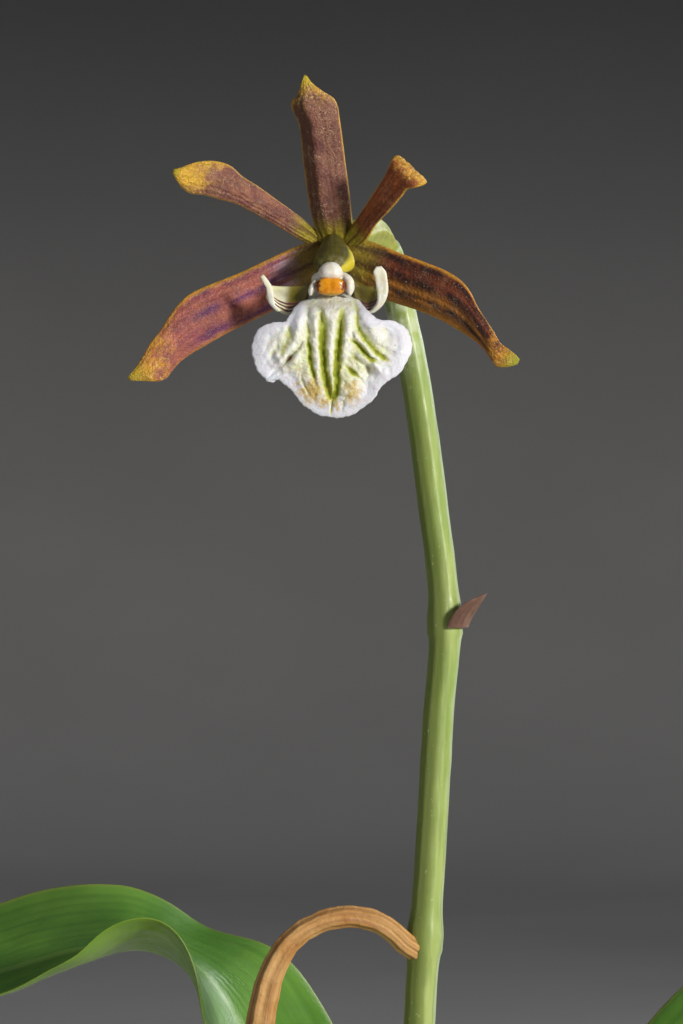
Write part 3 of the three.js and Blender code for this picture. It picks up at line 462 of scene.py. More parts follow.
def tepal_look(name, ground, flush, stripe, gold, tip, base, stripes=3.5, dark=0.8, tip_from=0.7,
               edge_from=0.78, edge=(1.0, 1.0), stripe_end=0.85, back=(120, 105, 40), velvet=0.5,
               shade=None, lower=None, painted_sheen=None):
    """ground and flush are the mottled skin, stripe its dark veins, gold its rim and end, base its foot.
    velvet sets how strongly the crests of its crinkles are painted pale, a painted highlight. shade is
    painted shade: a darker colour above that v, towards the upper or left edge. lower is the colour of
    its lower half, and glow a pale streak of painted sheen near its foot."""
    look = Look(name, 0.6, Subsurface_Weight=0.1, Subsurface_Scale=0.0005)
    mottle = look.noise(1.3, 4.0, rough=0.65)
    look.ground(look.step(mottle, 0.36, 0.66), ground, flush)
    if lower:
        half = look.step(look.plus(look.noise(1.5, 3.0), 0.3, look.v), 0.0, 0.42)
        look.coat(half, lower, 0.85)
    # Painted sheen: a pale lavender streak near the foot.
    if painted_sheen:
        near = look.both(look.step(look.u, 0.06, 0.12), look.fade(look.u, 0.2, 0.4))
        streak = look.both(near, look.step(look.strand(0.3, 0.16, 4.0), 0.42, 0.62))
        look.coat(streak, painted_sheen, 0.7)
    lines = look.stripes(stripes, wander=1.8, sharpness=1.6)
    broken = look.step(look.strand(0.1, 0.4, 4.0), 0.32, 0.56)
    reach = look.fade(look.u, stripe_end - 0.2, stripe_end)
    lines = look.both(look.both(lines, broken), reach)
    look.coat(lines, stripe, dark)
    fine = look.strand(0.5, 0.035, 3.0)
    look.coat(look.step(fine, 0.38, 0.75, 0.0, 0.4), stripe)
    # Painted shade: a darker colour on the side of the upper or left edge, past shade's first value of v.
    if shade:
        above = look.fade(look.plus(look.noise(0.8, 3.0), 0.1, look.v), shade[0] - 0.03, shade[0] + 0.06)
        look.coat(above, shade[1], 0.75)
    # Painted highlight: the crests of the crinkles are painted pale, as raking light would catch them; velvet
    # sets how strongly.
    folds = look.sum("ABSOLUTE", look.sum("SUBTRACT", look.noise(0.34, 3.0, bend=1.5), 0.5))
    crinkle = look.both(look.fade(folds, 0.0, 0.045), look.step(look.noise(1.6, 3.0), 0.4, 0.62))
    look.coat(crinkle, (214, 172, 142), velvet)
    ragged = look.plus(look.noise(0.9, 4.0), 0.2, -0.1)
    upper = look.step(look.plus(look.v, -1.0, ragged), edge_from, 0.97, 0.0, edge[0])
    under_rim = look.step(look.sum("ADD", look.v, ragged), edge_from, 0.97, 0.0, edge[1])
    look.coat(look.sum("MAXIMUM", upper, under_rim), gold)
    wander = look.plus(look.noise(0.9, 5.0, rough=0.7), 0.5, -0.25)
    lean = look.plus(look.v, -0.07 * (edge[0] - edge[1]), look.sum("ADD", look.u, wander))
    look.coat(look.step(lean, tip_from, tip_from + 0.2), gold)
    grains = look.step(look.noise(0.3, 3.0), 0.56, 0.68)
    ends = look.both(grains, look.step(look.u, tip_from, tip_from + 0.1))
    look.coat(ends, (240, 208, 110), 0.5)
    look.coat(look.step(look.u, 0.95, 1.0, 0.0, 0.7), tip)
    foot = look.fade(look.plus(wander, 0.25, look.u), 0.1, 0.26)
    veins = look.stripes(stripes, wander=0.8, sharpness=3.0)
    foot_colour = look.mix(look.sum("MULTIPLY", veins, 0.75), tint(*base), tint(70, 40, 15))
    look.colour = look.mix(foot, look.colour, foot_colour)
    # Painted glints: tiny pale specks on the papillae.
    specks = look.step(look.noise(0.13, 2.0), 0.68, 0.74)
    look.coat(specks, (250, 225, 185), 0.55)
    under = look.mix(look.step(look.strand(0.4, 0.1), 0.4, 0.65), tint(*back), tint(*ground))
    look.colour = look.mix(look.side, under, look.colour)
    papillae = look.plus(crinkle, 0.6, look.sum("ADD", look.noise(0.16, 3.0), look.cells(0.22)))
    return look.finished(papillae, (0.4, 1.6), (0.42, 0.7), papillae, 0.06, 1.0)


def lip_look():
    """u marks the green of the grooves, v the stain above 0 and the creases below, and side how far
    a place is inside the smooth margin."""
    look = Look("lip_skin", 0.5, Subsurface_Weight=0.15, Subsurface_Scale=0.0006)
    cream = look.noise(1.1, 4.0)
    look.ground(look.step(cream, 0.3, 0.7), (242, 243, 222), (230, 234, 190))
    # Whiter ridges and callus: partly their own white and partly a painted highlight on the ridge tops.
    ridge = look.step(look.u, -0.02, -0.3)
    look.coat(ridge, (252, 252, 244), 0.85)
    look.colour = look.mix(look.step(look.side, 0.0, 1.0), tint(228, 229, 240), look.colour)
    crumbs = look.both(look.step(look.noise(0.22, 4.0, rough=0.7), 0.52, 0.68), look.side)
    look.coat(crumbs, (206, 212, 150), 0.22)
    shades = look.step(look.noise(0.8, 4.0), 0.48, 0.7)
    look.coat(look.both(shades, look.side), (216, 220, 168), 0.35)
    patchy = look.plus(look.noise(0.5, 5.0, rough=0.75), 0.9, look.sum("ADD", look.u, -0.45))
    look.coat(look.step(patchy, 0.05, 0.42), (216, 218, 138))
    look.coat(look.step(patchy, 0.34, 0.8), (150, 160, 16))
    deep = look.step(patchy, 0.85, 1.15)
    look.coat(deep, (106, 112, 12), 0.6)
    # Yellow-brown stains; the one in the hollow at the lower right is painted shade.
    blotch = look.step(look.plus(look.noise(0.5, 5.0, rough=0.75), 1.8, look.v), 1.15, 1.8)
    look.coat(blotch, (204, 170, 58), 0.85)
    # Brown creases; in the hollow at the lower right this brown is painted shade.
    crease = look.step(look.v, -0.1, -0.9)
    look.coat(crease, (112, 84, 42), 0.85)
    dots = look.fade(look.noise(0.34, 1.0), 0.2, 0.225)
    look.coat(dots, (140, 74, 50), 0.7)
    sugar = look.plus(look.noise(0.16, 4.0, rough=0.75), 2.0, look.cells(0.2))
    return look.finished(sugar, (0.6, 2.6), (0.34, 0.62),
                         look.both(sugar, look.step(look.side, 0.0, 1.0, 0.3, 1.0)), 0.06, 0.9)


def arm_look():
    """Creamy outside, olive within (partly its own olive and partly painted shade), a painted shadow
    near the column, and two purple lines along the trough.
    """
    look = Look("lip_arm_skin", 0.45, Subsurface_Weight=0.15, Subsurface_Scale=0.0006)
    look.ground(look.step(look.noise(1.2, 3.0), 0.35, 0.7), (242, 240, 214), (232, 228, 168))
    # Olive within the trough: partly its own olive and partly painted shade.
    inner = look.both(look.fade(look.u, 0.42, 0.6), look.fade(look.v, 0.3, 0.75))
    look.coat(inner, (156, 146, 34))
    # Painted shadow: dark olive near the column, where the column shades the trough.
    near = look.fade(look.plus(look.noise(0.9, 3.0), 0.2, look.u), 0.35, 0.85)
    look.coat(near, (74, 62, 18), 0.85)
    waver = look.plus(look.noise(0.7, 3.0), 0.16, -0.08)
    mark = None
    for at, slope, wide in ((0.42, -0.34, 0.12), (0.66, -0.26, 0.12), (0.88, -0.14, 0.1)):
        line = look.plus(look.u, -slope, look.sum("ADD", look.v, waver))
        off = look.sum("ABSOLUTE", look.sum("SUBTRACT", line, at))
        band = look.fade(off, 0.4 * wide, wide)
        mark = band if mark is None else look.sum("MAXIMUM", mark, band)
    run = look.fade(look.u, 0.78, 0.95)
    look.coat(look.both(look.both(mark, run), look.side), (84, 24, 50))
    fine = look.noise(0.14, 3.0)
    return look.finished(fine, (0.3, 0.7), (0.35, 0.55), fine, 0.04, 0.7)


def fleshy_look(name, colours, size=1.2, roughness=(0.35, 0.6), relief=0.03, relief_size=0.16,
                streak=0.0, specks=None, scatter=0.15):
    """A fleshy skin of two or three mottled colours, with streaks along it."""
    look = Look(name, 0.5, Subsurface_Weight=scatter, Subsurface_Scale=0.0006)
    look.ground(look.step(look.noise(size, 4.0), 0.32, 0.68), colours[0], colours[1])
    if len(colours) > 2:
        look.coat(look.step(look.noise(size * 2.7, 3.0), 0.45, 0.75), colours[2])
    if streak:
        lines = look.step(look.strand(0.5, 0.03, 3.0), 0.35, 0.7)
        look.coat(lines, colours[-1], streak)
    if specks:
        dots = look.fade(look.noise(size * 0.35, 1.0), 0.24, 0.28)
        look.coat(dots, specks, 0.7)
    fine = look.noise(relief_size, 3.0)
    return look.finished(fine, (0.3, 0.7), roughness, fine, relief, 0.7)


def anther_look():
    look = Look("anther_skin", 0.3, Subsurface_Weight=0.1, Subsurface_Scale=0.0004, Coat_Weight=0.2)
    look.ground(look.step(look.noise(0.7, 3.0), 0.35, 0.7), (232, 156, 22), (206, 122, 12))
    ends = look.sum("ABSOLUTE", look.u)
    spot = look.step(look.plus(look.noise(0.2, 3.0, rough=0.7), 1.1, ends), 1.26, 1.36)
    look.coat(spot, (96, 24, 14), 0.9)
    low = look.fade(look.side, -0.95, -0.7)
    look.coat(low, (170, 160, 70), 0.7)
    dots = look.fade(look.noise(0.16, 1.0), 0.25, 0.3)
    look.coat(dots, (90, 35, 15), 0.7)
    fine = look.noise(0.2, 2.0)
    return look.finished(fine, (0.3, 0.7), (0.22, 0.4), fine, 0.02, 0.6)


def column_look():
    """An olive tube, with bright yellow along its right wing as a painted highlight on its lit side."""
    look = Look("column_skin", 0.45, Subsurface_Weight=0.12, Subsurface_Scale=0.0005)
    look.ground(look.step(look.noise(0.9, 4.0), 0.35, 0.7), (104, 98, 26), (78, 74, 22))
    lines = look.step(look.strand(0.6, 0.03, 3.0), 0.4, 0.66)
    look.coat(lines, (62, 52, 16), 0.5)
    # Painted highlight: the right wing painted bright yellow, the side that faces the light.
    wing = look.step(look.sum("COSINE", look.plus(look.v, 2 * math.pi, -3.0)), 0.82, 0.97)
    look.coat(look.both(wing, look.step(look.u, 0.35, 0.7)), (206, 190, 34))
    end = look.both(look.step(look.noise(0.5, 3.0), 0.4, 0.6), look.step(look.u, 0.86, 1.0))
    look.coat(end, (190, 180, 130), 0.35)
    fine = look.noise(0.18, 3.0)
    return look.finished(fine, (0.3, 0.7), (0.5, 0.7), fine, 0.06, 0.9)


def leaf_look():
    look = Look("leaf_skin", 0.4, Subsurface_Weight=0.12, Subsurface_Scale=0.0012)
    look.ground(look.step(look.noise(9.0, 3.0), 0.35, 0.68), (78, 128, 40), (104, 152, 54))
    veins = look.step(look.strand(1.4, 0.05, 3.0), 0.4, 0.66)
    look.coat(veins, (60, 104, 30), 0.35)
    rib = look.fade(look.sum("ABSOLUTE", look.v), 0.0, 0.09)
    look.coat(rib, (132, 168, 74), 0.5)
    rim = look.step(look.sum("ABSOLUTE", look.v), 0.93, 1.0)
    look.coat(rim, (140, 160, 70), 0.6)
    spots = look.step(look.noise(1.4, 3.0, rough=0.6), 0.7, 0.76)
    look.coat(spots, (150, 150, 80), 0.5)
    dry = look.step(look.plus(look.noise(2.0, 4.0), 0.05, look.u), 0.985, 1.02)
    look.coat(dry, (120, 92, 50))
    foot = look.fade(look.u, 0.0, 0.12)
    look.coat(foot, (160, 176, 98), 0.6)
    under = look.mix(look.step(look.noise(7.0, 3.0), 0.4, 0.65), tint(112, 156, 46), tint(132, 172, 58))
    look.colour = look.mix(look.side, under, look.colour)
    relief = look.plus(look.strand(1.2, 0.035, 3.0), 1.0, look.noise(0.5, 3.0))
    return look.finished(look.noise(3.0, 4.0), (0.3, 0.7), (0.3, 0.48), relief, 0.08, 0.6)


def stem_look(name="stem_skin", greens=((134, 160, 74), (158, 178, 92), (110, 128, 52)), painted_sides=False):
    look = Look(name, 0.45, Subsurface_Weight=0.1, Subsurface_Scale=0.0006)
    look.ground(look.step(look.noise(2.2, 3.0, (1, 1, 4)), 0.35, 0.66), greens[0], greens[1])
    if painted_sides:
        # Painted highlight down the stem's right side, and painted shade down its left side.
        turn = look.plus(look.v, 2 * math.pi, look.sum("MULTIPLY", look.noise(3.0), 0.5))
        right = look.step(look.sum("COSINE", look.sum("ADD", turn, -0.1)), 0.55, 0.95)
        look.coat(right, (196, 212, 190), 0.5)
        left = look.step(look.sum("COSINE", look.sum("ADD", turn, 0.7)), -0.5, -0.92)
        look.coat(left, (84, 96, 20), 0.65)
        top = look.both(look.step(look.u, 0.93, 0.985), look.step(look.noise(1.6, 4.0), 0.34, 0.6))
        look.coat(top, (214, 222, 196), 0.6)
    streak = look.step(look.noise(0.5, 3.0, (1, 1, 16)), 0.45, 0.7)
    look.coat(streak, greens[2], 0.45)
    dots = look.step(look.noise(0.3, 2.0, (1, 1, 1.6)), 0.68, 0.75)
    look.coat(dots, (196, 204, 150), 0.5)
    fine = look.noise(0.3, 3.0, (1, 1, 5))
    return look.finished(fine, (0.3, 0.7), (0.34, 0.55), fine, 0.04, 0.7)


def dry_look(name, pale, deep, dark, roughness=(0.6, 0.85), veins=0.045):
    look = Look(name, 0.7, Subsurface_Weight=0.05, Subsurface_Scale=0.0005)
    look.ground(look.step(look.noise(3.2, 4.0, rough=0.6), 0.35, 0.68), pale, deep)
    lines = look.step(look.strand(0.8, veins, 3.0), 0.42, 0.62)
    look.coat(lines, dark, 0.55)
    spots = look.step(look.noise(0.7, 4.0, rough=0.7), 0.62, 0.72)
    look.coat(spots, dark, 0.5)
    relief = look.sum("ADD", look.strand(0.8, veins, 3.0), look.noise(0.35, 4.0))
    return look.finished(look.noise(1.0, 3.0), (0.3, 0.7), roughness, relief, 0.1, 0.8)


def bulb_look():
    look = Look("bulb_skin", 0.45, Subsurface_Weight=0.06, Subsurface_Scale=0.0008)
    look.ground(look.step(look.noise(6.0, 4.0), 0.35, 0.68), (112, 136, 56), (146, 156, 76))
    lines = look.step(look.noise(0.8, 3.0, (1, 1, 14)), 0.42, 0.66)
    look.coat(lines, (88, 108, 40), 0.4)
    foot = look.fade(look.u, 0.0, 0.22)
    look.coat(foot, (128, 96, 52), 0.65)
    scars = look.step(look.noise(2.4, 5.0, rough=0.7), 0.64, 0.72)
    look.coat(scars, (120, 98, 58), 0.6)
    relief = look.sum("ADD", look.noise(0.5, 3.0, (1, 1, 8)), look.noise(1.4, 4.0))
    return look.finished(look.noise(1.8, 4.0), (0.3, 0.7), (0.36, 0.6), relief, 0.12, 0.7)


def root_look():
    look = Look("root_skin", 0.7)
    look.ground(look.step(look.noise(2.0, 4.0), 0.35, 0.7), (206, 206, 190), (172, 174, 150))
    green = look.step(look.noise(5.0, 3.0), 0.5, 0.7)
    look.coat(green, (140, 156, 104), 0.5)
    tip = look.step(look.u, 0.93, 0.985)
    look.coat(tip, (120, 150, 60))
    dirt = look.step(look.noise(0.9, 5.0, rough=0.7), 0.6, 0.72)
    look.coat(dirt, (112, 90, 62), 0.6)
    relief = look.noise(0.6, 5.0, rough=0.65)
    return look.finished(relief, (0.3, 0.7), (0.6, 0.85), relief, 0.14, 0.8)


def bark_look():
    look = Look("bark_skin", 0.9)
    look.ground(look.step(look.noise(6.0, 4.0), 0.3, 0.7), (104, 68, 44), (64, 42, 30))
    lines = look.step(look.noise(1.0, 4.0, (5, 1, 1)), 0.4, 0.66)
    look.coat(lines, (142, 104, 72), 0.7)
    ash = look.step(look.noise(2.6, 5.0, rough=0.7), 0.6, 0.72)
    look.coat(ash, (158, 138, 116), 0.5)
    damp = look.step(look.noise(11.0, 3.0), 0.52, 0.66)
    look.coat(damp, (42, 30, 22), 0.5)
    relief = look.sum("ADD", look.noise(0.8, 5.0, (4, 1, 1)), look.noise(2.2, 5.0))
    return look.finished(look.noise(2.0, 3.0), (0.3, 0.7), (0.78, 0.96), relief, 0.35, 0.9)


def moss_look():
    look = Look("moss_skin", 0.9, Subsurface_Weight=0.05, Subsurface_Scale=0.0005)
    look.ground(look.step(look.noise(3.0, 4.0), 0.35, 0.68), (92, 118, 34), (58, 84, 22))
    tips = look.step(look.u, 0.3, 1.0)
    look.coat(tips, (150, 168, 62), 0.6)
    fine = look.noise(0.3, 4.0)
    return look.finished(fine, (0.3, 0.7), (0.75, 0.95), fine, 0.1, 0.8)


def clay_look():
    look = Look("clay_skin", 0.85)
    look.ground(look.step(look.noise(22.0, 4.0), 0.3, 0.7), (186, 108, 70), (164, 90, 56))
    fine = look.step(look.noise(1.2, 5.0, rough=0.7), 0.4, 0.7)
    look.coat(fine, (208, 138, 98), 0.3)
    bloom = look.both(look.step(look.noise(9.0, 6.0, rough=0.65), 0.5, 0.68),
                      look.step(look.plus(look.noise(16.0, 3.0), 60.0, look.u), 60.0, 110.0))
    look.coat(bloom, (222, 206, 190), 0.6)
    damp = look.both(look.step(look.noise(14.0, 4.0), 0.48, 0.62),
                     look.step(look.plus(look.noise(10.0, 3.0), 26.0, look.u), 36.0, 16.0, 0.0, 1.0))
    look.coat(damp, (112, 66, 44), 0.55)
    alga = look.both(look.step(look.noise(5.0, 5.0, rough=0.65), 0.54, 0.68),
                     look.step(look.u, 22.0, 2.0, 0.0, 1.0))
    look.coat(alga, (92, 96, 50), 0.5)
    pits = look.fade(look.noise(0.7, 3.0), 0.27, 0.33)
    look.coat(pits, (110, 62, 40), 0.5)
    turned = look.noise(0.9, 3.0, (30, 30, 1))
    relief = look.plus(look.noise(0.6, 5.0, rough=0.65), 0.6, turned)
    return look.finished(look.noise(3.0, 4.0), (0.3, 0.7), (0.76, 0.94), relief, 0.16, 0.8)


# Tepals: rows of u, the pixel of the upper or left edge, that of the other edge, and the depth

TEPALS = {
    "dorsal_sepal": [
        [0, 320, 249, 347, 249, 0.3], [0.1, 316.5, 233, 352, 232, -0.4],
        [0.3, 309.5, 203, 350.2, 201, -1.9], [0.5, 304, 166, 345.5, 164, -3.1],
        [0.68, 300.5, 131, 341.5, 132, -4.2], [0.78, 297, 117, 339, 114, -4.75],
        [0.85, 291.6, 106, 337.2, 104, -5.1], [0.9, 292.4, 98.5, 333, 96.5, -5.3],
        [0.945, 298.6, 91.8, 321.5, 89.6, -5.5], [0.975, 301.8, 82.5, 311.5, 82.5, -5.6],
        [1, 304.4, 73.6, 305.8, 73.6, -5.6],
    ],
    "petal_left": [
        [0, 322, 234, 319, 250, 0.3], [0.14, 302, 218.5, 299, 238.5, -0.8],
        [0.3, 281, 203, 275, 223.5, -1.9], [0.47, 258, 186, 250, 210, -3.1],
        [0.6, 240, 174.5, 234, 202, -4], [0.7, 229, 164.5, 218, 198, -4.7],
        [0.79, 214, 160, 203, 193.7, -5.2], [0.87, 198, 160.8, 190, 192.3, -5.6],
        [0.93, 186, 164.3, 181.5, 186.5, -5.9], [0.97, 178.5, 167.5, 176, 178.5, -6.1],
        [1, 172.3, 168.6, 172.5, 171.5, -6.2],
    ],
    "petal_right": [
        [0, 340, 240, 350, 253, 0.3], [0.13, 352, 224, 366, 240, -1.1], [0.3, 362, 210, 377, 223, -2.7],
        [0.5, 374, 191.5, 391, 208.5, -4.5], [0.68, 384.5, 175.5, 402.5, 195, -5.9],
        [0.8, 389.5, 165, 409, 187.5, -6.8], [0.88, 392, 158.5, 417, 186, -7.3],
        [0.94, 394.3, 155.4, 424, 183.8, -7.1], [1, 396.6, 155.4, 427.2, 181.2, -6.3],
    ],
    "lateral_sepal_left": [
        [0, 326, 238, 330, 262, 0.2], [0.07, 311, 240.5, 318, 283, -0.4],
        [0.14, 296, 245.5, 300, 297, -0.8], [0.3, 268, 258.5, 274, 309.5, -1.9],
        [0.45, 240, 271.7, 246, 323, -3.0], [0.58, 214, 282, 222, 335, -4.0],
        [0.68, 194.5, 290.3, 203, 346, -4.7], [0.76, 181, 300, 190, 353.5, -5.2],
        [0.83, 169, 315, 178.5, 362, -5.6], [0.89, 159.5, 330, 171, 370.5, -6.0],
        [0.93, 150, 342, 164.5, 378.5, -6.3], [0.96, 141.5, 357, 156, 381, -6.5],
        [0.985, 133.5, 369, 142, 380.4, -6.7], [1, 126.6, 377.3, 128.8, 380.1, -6.8],
    ],
    "lateral_sepal_right": [
        [0, 340, 238, 337, 262, 0.2], [0.08, 356, 237.5, 350, 283, -0.4],
        [0.16, 374, 241.5, 368, 293, -1.0], [0.3, 400, 252, 395, 302, -2.1],
        [0.43, 424, 261, 418, 309.5, -3.2], [0.55, 446, 269.8, 440, 318.5, -4.1],
        [0.64, 460, 278.5, 455, 327, -4.7], [0.72, 470.5, 290.5, 468, 335, -5.2],
        [0.79, 478.5, 307, 479, 342.5, -5.7], [0.85, 487, 320.5, 487, 350.5, -6.0],
        [0.9, 494.5, 332, 491.5, 356.5, -6.3], [0.935, 500.5, 342.5, 494.5, 361.5, -6.5],
        [0.96, 508, 348.2, 497.3, 366.2, -6.6], [0.985, 516.5, 354.6, 508.5, 366.3, -6.75],
        [1, 520.4, 358.8, 518.3, 363.6, -6.8],
    ],
}
# How each leans away at its rims, and where its keel lies.
TEPAL_FORM = {
    "dorsal_sepal": (0.36, -0.28, 0.16),
    "petal_left": (0.3, 0.1, 0.04),
    "petal_right": (0.12, 0.25, -0.14),
    "lateral_sepal_left": (0.24, 0.3, 0.05),
    "lateral_sepal_right": (0.24, -0.1, 0.05),
}
TEPAL_LOOKS = {
    # The dorsal sepal's shade is painted shade over its left third, beside its keel.
    "dorsal_sepal": dict(
        ground=(142, 94, 74), flush=(108, 62, 54), stripe=(84, 42, 46), gold=(206, 160, 42),
        tip=(206, 190, 44),
        base=(176, 160, 38), stripes=3.0, dark=0.45, tip_from=0.84, edge_from=0.82, edge=(0.8, 0.9),
        velvet=0.95, shade=(-0.3, (78, 48, 26))),
    "petal_left": dict(
        ground=(158, 104, 76), flush=(120, 66, 58), stripe=(92, 46, 58), gold=(222, 174, 52),
        tip=(190, 180, 36),
        base=(166, 148, 38), stripes=2.5, dark=0.5, tip_from=0.74, edge_from=0.72, edge=(1.0, 0.4),
        velvet=0.7),
    "petal_right": dict(
        ground=(158, 82, 34), flush=(128, 58, 28), stripe=(92, 38, 22), gold=(228, 180, 52),
        tip=(230, 190, 60),
        base=(172, 156, 36), stripes=2.5, dark=0.6, tip_from=0.84, edge_from=0.78, edge=(0.8, 0.8),
        velvet=0.3),
    # Near its foot the left lateral sepal gets a pale streak of painted sheen.
    "lateral_sepal_left": dict(
        ground=(180, 102, 76), flush=(146, 72, 66), stripe=(96, 34, 92), gold=(216, 156, 48),
        tip=(176, 164, 34),
        base=(134, 108, 36), stripes=2.6, dark=0.95, tip_from=0.84, edge_from=0.72, edge=(1.0, 0.4),
        velvet=0.35, painted_sheen=(216, 190, 206)),
    "lateral_sepal_right": dict(
        ground=(120, 58, 26), flush=(92, 38, 22), stripe=(40, 12, 8), gold=(212, 148, 40),
        tip=(150, 170, 40),
        base=(150, 130, 32), stripes=3.4, dark=1.0, tip_from=0.86, edge_from=0.76, edge=(1.0, 0.7),
        stripe_end=1.0, velvet=0.3, lower=(184, 118, 34)),
}


def tepal_skin(name):
    lean, keel, keel_height = TEPAL_FORM[name]

    def bow(u, v):
        ridge = hump(v, keel, 0.22)
        fade = smooth(u, 0.02, 0.2)
        curl = 0.05 * smooth(u, 0.8, 1.0) * v * np.sin(5 * u)
        return lean * np.abs(v) ** 1.8 * fade - keel_height * ridge * fade * (1 - smooth(u, 0.8, 1)) + curl

    def relief(u, v, at):
        veins = 0.035 * np.cos(7 * np.pi * v + 1.5 * grain(at, 4.0)) * (1 - 0.6 * u)
        velvet = 0.03 * grain(at, 0.34) + 0.018 * grain(at, 0.17, 5.0)
        waves = 0.08 * grain(at, 2.3, 9.0)
        return veins + velvet + waves

    return between(TEPALS[name], lambda u: 0.86 - 0.2 * u, *TEPAL_GRID, bow, relief)


for tepal in TEPALS:
    paint = tepal_look(tepal + "_paint", **TEPAL_LOOKS[tepal])
    piece(tepal + "_skin", [tepal_skin(tepal)], paint, "tepal", tepal)


# Lip: its rim in the photograph, then grooves and ridges as strokes over it, in pixels

LIP_RIM = [
    (290, 314), (287, 318.5), (284, 321), (278, 321.6), (271, 322), (262, 326), (255, 333), (251.8, 343),
    (251.8, 353), (253.8, 363), (258, 371), (263.2, 377.3), (267.6, 381.3), (273, 379.8), (279, 379.6),
    (282.8, 383), (288, 387.6), (292, 390.2), (295, 395.4), (301, 402.6), (306, 407), (311, 410.4),
    (320, 415), (330, 417), (337, 417.4), (344, 417), (351, 415), (360, 409.6), (369, 403.4), (376, 395.6),
    (379.6, 389.6), (385, 382.6), (391, 379), (398, 374.4), (405, 365), (410, 356), (412, 346),
    (411.4, 337), (407.6, 330), (402, 324), (393, 320), (383, 319.6), (376, 317), (370, 312.6), (365, 307),
    (358, 300), (346, 296), (332, 294.5), (318, 296), (304, 300), (295, 307),
]
LIP_HUB = (331, 350)
LIP_DEPTH = track([
    [-13.9, -9.45], [-12.3, -9.7], [-11, -9.8], [-9.6, -9.82], [-8, -9.7], [-6.64, -9.5], [-5.78, -9.3],
    [-5.2, -8.5], [-4.7, -7.4], [-4.1, -6.6],
])
# Each stroke: its way, its half-width, its depth, and how green and how brown it is.
LIP_GROOVES = [
    ([(322, 309), (322.1, 335), (323.6, 356), (325, 378), (327.6, 391), (331.2, 402)], 3.5, 0.24, 1.1, 0),
    ([(341.6, 307), (339.8, 335), (338.4, 349), (337.1, 364), (336, 385), (333, 402)], 3.5, 0.24, 1.1, 0),
    ([(331.8, 396), (331.4, 408), (331.2, 417)], 1.5, 0.26, 0.6, 0.35),
    ([(307.3, 304), (307.3, 324), (308.8, 335), (309.6, 344)], 3.4, 0.18, 0.42, 0),
    ([(309.2, 338), (310.4, 352), (311, 362), (313, 371), (315.6, 382)], 2.6, 0.18, 0.95, 0),
    ([(291.5, 320), (290, 330), (289, 338), (285.7, 348), (280, 358)], 4.0, 0.18, 0.36, 0),
    ([(306, 339), (300, 345.5), (294.3, 352), (287, 361), (273, 372), (266.5, 379)], 1.8, 0.3, 0.05, 0.35),
    ([(294, 352), (289, 358), (284, 364)], 1.9, 0.12, 0.0, 1.2),
    ([(353.6, 300), (357.1, 320.7), (361.4, 333.6), (368.6, 343.6), (377.1, 353.6), (389, 361.5)],
     3.0, 0.2, 0.75, 0),
    ([(349.5, 338), (357.1, 345), (362.9, 352), (370, 359.3), (377, 362.5)], 2.6, 0.2, 0.85, 0),
    ([(345, 364.5), (351.4, 370.7), (361, 378)], 2.5, 0.22, 1.05, 0),
    ([(350, 352), (356, 359), (361, 364)], 2.2, 0.14, 0.45, 0),
    # This stroke's brown is painted shade in the hollow at the lower right.
    ([(362, 363), (368, 368), (368, 376)], 3.0, 0.2, 0.1, 0.5),
    ([(376, 328), (384, 331), (391, 338)], 3.0, 0.08, 0.26, 0),
    ([(376, 344), (388, 352), (398, 356)], 2.4, 0.1, 0.16, 0),
    ([(275, 334), (268, 343), (262, 353)], 4.4, 0.08, 0.18, 0),
    ([(281, 343), (273, 352), (266, 362)], 2.8, 0.1, 0.18, 0),
    ([(300, 372), (304, 386), (311, 398)], 2.0, 0.1, 0.25, 0.15),
    ([(346, 395), (343, 404), (342, 413)], 1.8, 0.1, 0.3, 0),
]
LIP_RIDGES = [
    ([(332, 316), (331, 345), (331.5, 398)], 4.4, 0.16),
    ([(314.5, 306), (316, 335), (318, 360), (320, 388)], 4.8, 0.2),
    ([(300.5, 304), (298, 325), (296.5, 338), (286, 352), (275, 365)], 5.4, 0.26),
    ([(302, 350), (296, 358), (289, 366)], 3.4, 0.2),
    ([(347.5, 306), (348.4, 325), (345.5, 345), (343.6, 362)], 5.0, 0.2),
    ([(352, 329), (361, 341), (368.6, 352), (377, 362.5)], 2.8, 0.18),
    ([(350, 356), (361, 356.5), (371, 361), (378, 369.5), (387, 377)], 3.4, 0.22),
    ([(361.4, 305), (368, 320), (374, 331), (384, 342)], 5.4, 0.24),
    ([(264, 331), (258, 345), (260, 362)], 7.0, 0.1),
    ([(400, 330), (405, 344), (400, 362)], 5.0, 0.1),
]
# Rounded swellings and hollows: middle, the two half-widths, and height.
LIP_SWELLS = [
    ((351, 390), (11, 14), 0.32), ((308, 381), (15, 15), 0.34), ((366.5, 370.5), (5, 6), -0.34),
    ((370, 388), (6, 10), -0.24), ((390, 336), (12, 12), -0.16), ((268, 345), (11, 14), 0.12),
    ((274, 371), (5, 5), -0.12),
]
# Yellow-brown stains: middle, the two half-widths, and strength.
LIP_STAINS = [
    ((310, 391), (17, 15), 1.0), ((323, 402), (9, 8), 0.8), ((353, 391), (14, 17), 0.75),
    # On the next line, the stain at 368, 371 is painted shade, darkening the hollow there.
    ((301, 373), (10, 9), 0.5), ((368, 371), (9, 8), 0.55), ((336, 405), (10, 8), 0.6),
]


